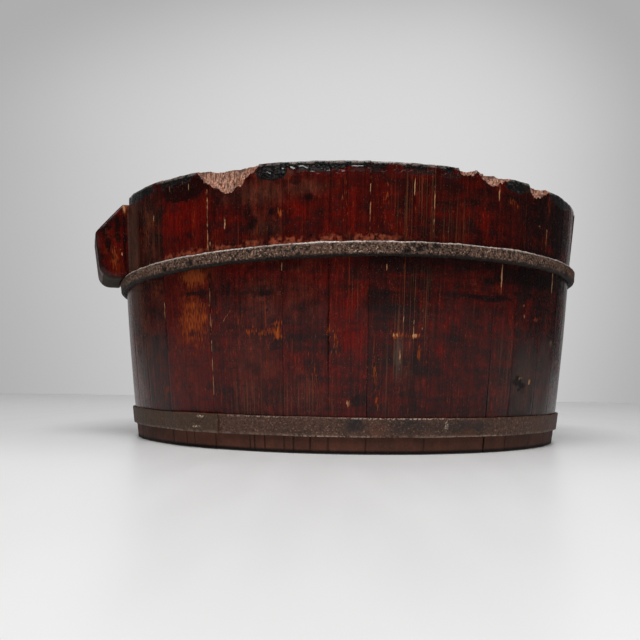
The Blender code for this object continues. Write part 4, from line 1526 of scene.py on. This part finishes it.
# The upper edge is rubbed to bare metal, and is also painted pale as a highlight.
top_edge_wear_and_highlight = times(span(share["X"], 0.84, 0.96), span(height, 0.36, 0.50), span(share["Y"], 0.56, 0.74))
rubbed = times(top_edge_wear_and_highlight, span(cloud, 0.3, 0.5, 0.35, 1))
colour = mix(rubbed, colour, paint(216, 206, 198))
colour = mix(times(pits, span(coarse, 0.38, 0.5)), colour, paint(12, 9, 8))
# Painted shade: the hoop's lower edge is painted nearly black.
lower_edge_shade = span(share["X"], 0.26, 0.06, 0, 0.9)
colour = mix(lower_edge_shade, colour, paint(11, 8, 7))
rough = times_plus(rubbed, -0.2, times_plus(coarse, 0.3, 0.5))
wire(shader, Base_Color=colour, Roughness=rough, Metallic=times(rubbed, 0.7),
     Specular_IOR_Level=0.2, Normal=bump(height, distance=0.0016))
print("forged iron:", len(bench.nodes), "nodes")

# %% Mix the strip iron
BAND_BLACK = (
    (2.7, 22, 2.0, 6, 0.9), (14.2, 21, 4, 6, 0.75), (28, 21, 6, 6, 0.75), (-10, 17, 4, 2, 0.3),
    (150, 20, 6, 6, 0.7), (210, 20, 9, 6, 0.6), (96, 20, 4, 5, 0.5), (20.5, 21, 1.5, 6, 0.5),
)
# Pale rubs, and thin pale lines along the band's lower and upper edges, at 13.6 and 27.3 mm, that are
# painted highlights.
BAND_RUBS_AND_HIGHLIGHTS = (
    (-31.6, 25.8, 0.9, 0.7, 1.0), (-33.2, 17.6, 0.9, 0.7, 1.0), (22.3, 22, 0.35, 3, 0.8),
    (-2, 13.6, 9, 0.5, 0.7), (12, 27.3, 12, 0.5, 0.7), (-18, 27.3, 6, 0.4, 0.5), (30, 13.6, 9, 0.5, 0.6),
    (-40, 13.6, 5, 0.4, 0.4),
)
LAP_BLUR = 0.0006
SCALE_WARP = (0.02, 0.012, 0)
BAND_FOOT = (BAND_BOTTOM + 0.0025, BAND_BOTTOM + 0.0004)

band_marks = marks_group("black scale", BAND_BLACK, 0.6)
band_rub_and_highlight_marks = marks_group("pale rubs", BAND_RUBS_AND_HIGHLIGHTS, 0.8)
shader = start(strip_iron)
place = object_place()
spot = split(place)
arc = times(calc("ARCTAN2", spot["X"], times(spot["Y"], -1.0)), RIM_RADIUS)
on_wall = join(arc, spot["Z"])
coarse = noise(place, 260.0, detail=3, roughness=0.6)
speckle = noise(place, 760.0, detail=3, roughness=0.65)
cloud = noise(place, 34.0, detail=3)
lap_end = BAND_LAP_END * RIM_RADIUS
olive = span(arc, lap_end + LAP_BLUR, lap_end - LAP_BLUR)
purple_brown = mix(coarse, paint(34, 22, 18), paint(104, 72, 59))
olive_brown = mix(coarse, paint(48, 35, 25), paint(88, 64, 47))
colour = mix(olive, purple_brown, olive_brown)
flecked = times_plus(olive, -0.4, 0.8)
colour = mix(times(flecked, span(speckle, 0.57, 0.68)), colour, paint(150, 116, 92))
colour = mix(times(flecked, span(speckle, 0.46, 0.34)), colour, paint(20, 13, 10))
warp = scaled(join(minus(coarse, 0.5), minus(cloud, 0.5)), SCALE_WARP)
scale_black = use(band_marks, moved(on_wall, warp))[0]
colour = mix(times(scale_black, span(coarse, 0.35, 0.5)), colour, paint(30, 28, 28))
colour = mix(span(cloud, 0.55, 0.7, 0, 0.45), colour, paint(96, 56, 36))
# Painted highlight: a pale line along the band's lower edge.
band_foot_highlight = times(span(spot["Z"], *BAND_FOOT), span(coarse, 0.4, 0.6, 0, 0.5))
colour = mix(band_foot_highlight, colour, paint(140, 118, 104))
band_rub_and_highlight = times(use(band_rub_and_highlight_marks, on_wall)[0], span(speckle, 0.46, 0.56))
colour = mix(band_rub_and_highlight, colour, paint(196, 176, 156))
rough = times_plus(coarse, 0.3, 0.42)
relief = times_plus(speckle, 0.4, coarse)
wire(shader, Base_Color=colour, Roughness=rough, Specular_IOR_Level=0.25,
     Normal=bump(relief, distance=0.0006))
print("strip iron:", len(bench.nodes), "nodes")

# %% [markdown]
# ## Bottom boards and dowels
# The bottom is bare softwood, grey-brown from water, with raised grain along the boards and dark stains.

# %% Mix the bottom wood
BOARD_GRAIN_DEPTH = 30.0

shader = start(bottom_wood)
place = object_place()
spot = split(place)
along = join(spot["Y"], spot["X"], times(spot["Z"], BOARD_GRAIN_DEPTH))
streaks = use(grain, along)
cloud = noise(place, (9, 30, 30), detail=5, roughness=0.66)
colour = mix(streaks["Broad"], paint(66, 46, 34), paint(124, 92, 66))
colour = mix(span(streaks["Fine"], 0.4, 0.7, 0, 0.5), colour, paint(150, 120, 90))
colour = mix(streaks["Lines"], colour, paint(44, 29, 21))
colour = mix(span(cloud, 0.47, 0.60, 0, 0.5), colour, paint(50, 36, 28))
rough = times_plus(cloud, -0.25, 0.8)
relief = times_plus(streaks["Fine"], 0.7, streaks["Broad"])
wire(shader, Base_Color=colour, Roughness=rough, Normal=bump(relief, distance=0.0006))

shader = start(split_bamboo)
fibres = noise(object_place(), (900, 30, 900), detail=2)
colour = mix(fibres, paint(142, 112, 66), paint(196, 166, 112))
rough = times_plus(fibres, 0.2, 0.45)
wire(shader, Base_Color=colour, Roughness=rough, Normal=bump(fibres, distance=0.0003))
print("bottom wood and bamboo mixed")

# %% [markdown]
# ## Stage, light and camera
# A pale floor and a pale wall, soft light from above, and the camera low in front, as in the photograph. The
# floor can be looked through from below, and lets the light of a small lamp through, so that the underside
# of the tub can be checked. The floor is painted darker from the tub backwards, as painted shade. The wall
# glows with painted light, brightest near its middle, which the camera and reflections see, so that it needs
# no more light than the tub.

# %% Floor
BACKDROP_AT = 1.49
BACKDROP_SPAN = (-1.55, 1.32)
BACKDROP_HEIGHT = 2.4
FLOOR_FRONT = -1.40
FLOOR_HALF_WIDTH = 2.6
FLOOR_SHADE_BEHIND_TUB = (-0.32, 0.02)


def plain_sheet(name, low, high, tilt):
    """A flat sheet between two corners of its own plane, turned up from the floor by the tilt."""
    middle = ((low[0] + high[0]) / 2, (low[1] + high[1]) / 2, 0)
    bpy.ops.object.select_all(action="DESELECT")
    bpy.ops.mesh.primitive_plane_add(size=1, location=middle)
    bpy.ops.transform.resize(value=(high[0] - low[0], high[1] - low[1], 1))
    bpy.ops.object.transform_apply(location=True, rotation=True, scale=True)
    sheet = bpy.context.object
    sheet.name = name
    sheet.rotation_euler = (tilt, 0, 0)
    return sheet


def show(output, share, first, second):
    """Mix two shaders by a share, and let the tree on the bench show them."""
    both = put("MixShader", {0: share, 1: first, 2: second}).outputs[0]
    plug(bench.nodes[output].inputs["Surface"], both)


floor = plain_sheet("floor", (-FLOOR_HALF_WIDTH, FLOOR_FRONT), (FLOOR_HALF_WIDTH, BACKDROP_AT), 0)
floor_paint_and_shade = bpy.data.materials.new("floor paint")
shader = start(floor_paint_and_shade)
place = object_place()
smudge = noise(place, 1.6, detail=3)
brushed = noise(place, (30, 6, 1), detail=2)
colour = mix(smudge, paint(225, 225, 225), paint(238, 238, 238))
# Painted shade: the floor is painted darker from in front of the tub towards the back.
colour = mix(span(split(place)["Y"], *FLOOR_SHADE_BEHIND_TUB), colour, paint(210, 210, 210))
wire(shader, Base_Color=colour, Roughness=times_plus(brushed, 0.16, 0.28))
from_below = put("NewGeometry").outputs["Backfacing"]
lamp_ray = put("LightPath").outputs["Is Shadow Ray"]
show("Material Output", most(from_below, lamp_ray), shader.outputs[0], put("BsdfTransparent").outputs[0])
floor.data.materials.append(floor_paint_and_shade)
print("stage:", floor.name)

# %% Wall
# Where the wall's painted glow is brightest, across and up, each with how far that reaches to its lower and
# higher side.
BRIGHT_ACROSS = (0.2, 1.3, 0.7)
BRIGHT_UP = (0.8, 1.5, 0.55)


def beyond(value, middle, reach_down, reach_up):
    """How far a value is from the middle, in its own reach on each side."""
    below = times_plus(value, -1 / reach_down, middle / reach_down)
    above = times_plus(value, 1 / reach_up, -middle / reach_up)
    return calc("POWER", most(below, above), 2.0)


left, right = BACKDROP_SPAN
backdrop = plain_sheet("backdrop", (left, 0), (right, BACKDROP_HEIGHT), math.radians(90))
backdrop.location = (0, BACKDROP_AT, 0)
wall_paint_and_glow = bpy.data.materials.new("wall paint")
shader = start(wall_paint_and_glow)
wire(shader, Base_Color=paint(188, 188, 188), Roughness=0.9)
place = object_place()
spot = split(place)
smudge = noise(place, 1.1, detail=4)
away = calc("ADD", beyond(spot["X"], *BRIGHT_ACROSS), beyond(spot["Y"], *BRIGHT_UP))
away = times_plus(smudge, 0.2, away)
# Painted light: the glow is brightest near the middle and darker towards the wall's edges.
shade = mix(span(away, -0.2, 1.6), paint(220, 220, 220), paint(174, 174, 174))
ray = put("LightPath").outputs
seen = most(ray["Is Camera Ray"], ray["Is Glossy Ray"])
show("Material Output", seen, shader.outputs[0], put("Emission", {"Color": shade}).outputs[0])
backdrop.data.materials.append(wall_paint_and_glow)
print("stage:", backdrop.name)

# %% Light
ROOM_LIGHT = 0.035

world = bpy.data.worlds.new("soft room")
bpy.context.scene.world = world
world.use_nodes = True
work_on(world.node_tree)
room = bench.nodes["Background"]
wire(room, Color=(1, 1, 1, 1), Strength=ROOM_LIGHT)
pale_room = put("Background", {"Color": paint(186, 186, 186), "Strength": 1.0}).outputs[0]
show("World Output", put("LightPath").outputs["Is Camera Ray"], room.outputs[0], pale_room)


def softbox(name, size, location, target, power):
    """A rectangular lamp that looks at a target."""
    light = bpy.data.lights.new(name, "AREA")
    light.shape = "RECTANGLE"
    light.size, light.size_y = size
    light.energy = power
    lamp = bpy.data.objects.new(name, light)
    bpy.context.scene.collection.objects.link(lamp)
    lamp.location = location
    lamp.rotation_euler = (Vector(target) - Vector(location)).to_track_quat("-Z", "Y").to_euler()


softbox("front_top", size=(2.2, 1.5), location=(0.0, -1.5, 2.6), target=(0, 0, 0.1), power=94)
softbox("back_top", size=(2.2, 1.4), location=(0.0, 0.9, 2.6), target=(0, 0.3, 0.1), power=12)
softbox("underneath", size=(0.2, 0.2), location=(0.0, 0.0, -0.25), target=(0, 0.001, 0.0), power=0.4)
print("lights:", len(bpy.data.lights))

# %% Camera
CAMERA_AT = Vector((0, -0.7566, 0.0556))
CAMERA_YAW = -0.0327
CAMERA_PITCH = 0.0824
CAMERA_ROLL = 0.0149
CAMERA_LENS = 40.91
CAMERA_SENSOR = 36

ahead = Vector((
    math.sin(CAMERA_YAW) * math.cos(CAMERA_PITCH),
    math.cos(CAMERA_YAW) * math.cos(CAMERA_PITCH),
    math.sin(CAMERA_PITCH),
))
right = Vector((math.cos(CAMERA_YAW), -math.sin(CAMERA_YAW), 0))
up = right.cross(ahead)
side = right * math.cos(CAMERA_ROLL) + up * math.sin(CAMERA_ROLL)
top = up * math.cos(CAMERA_ROLL) - right * math.sin(CAMERA_ROLL)
camera_data = bpy.data.cameras.new("camera")
camera_data.lens = CAMERA_LENS
camera_data.sensor_width = CAMERA_SENSOR
camera = bpy.data.objects.new("camera", camera_data)
bpy.context.scene.collection.objects.link(camera)
turned = Matrix((side, top, -ahead)).transposed().to_4x4()
camera.matrix_world = Matrix.Translation(CAMERA_AT) @ turned
bpy.context.scene.camera = camera
bpy.context.scene.view_settings.view_transform = "Standard"
print("camera at", list(CAMERA_AT))
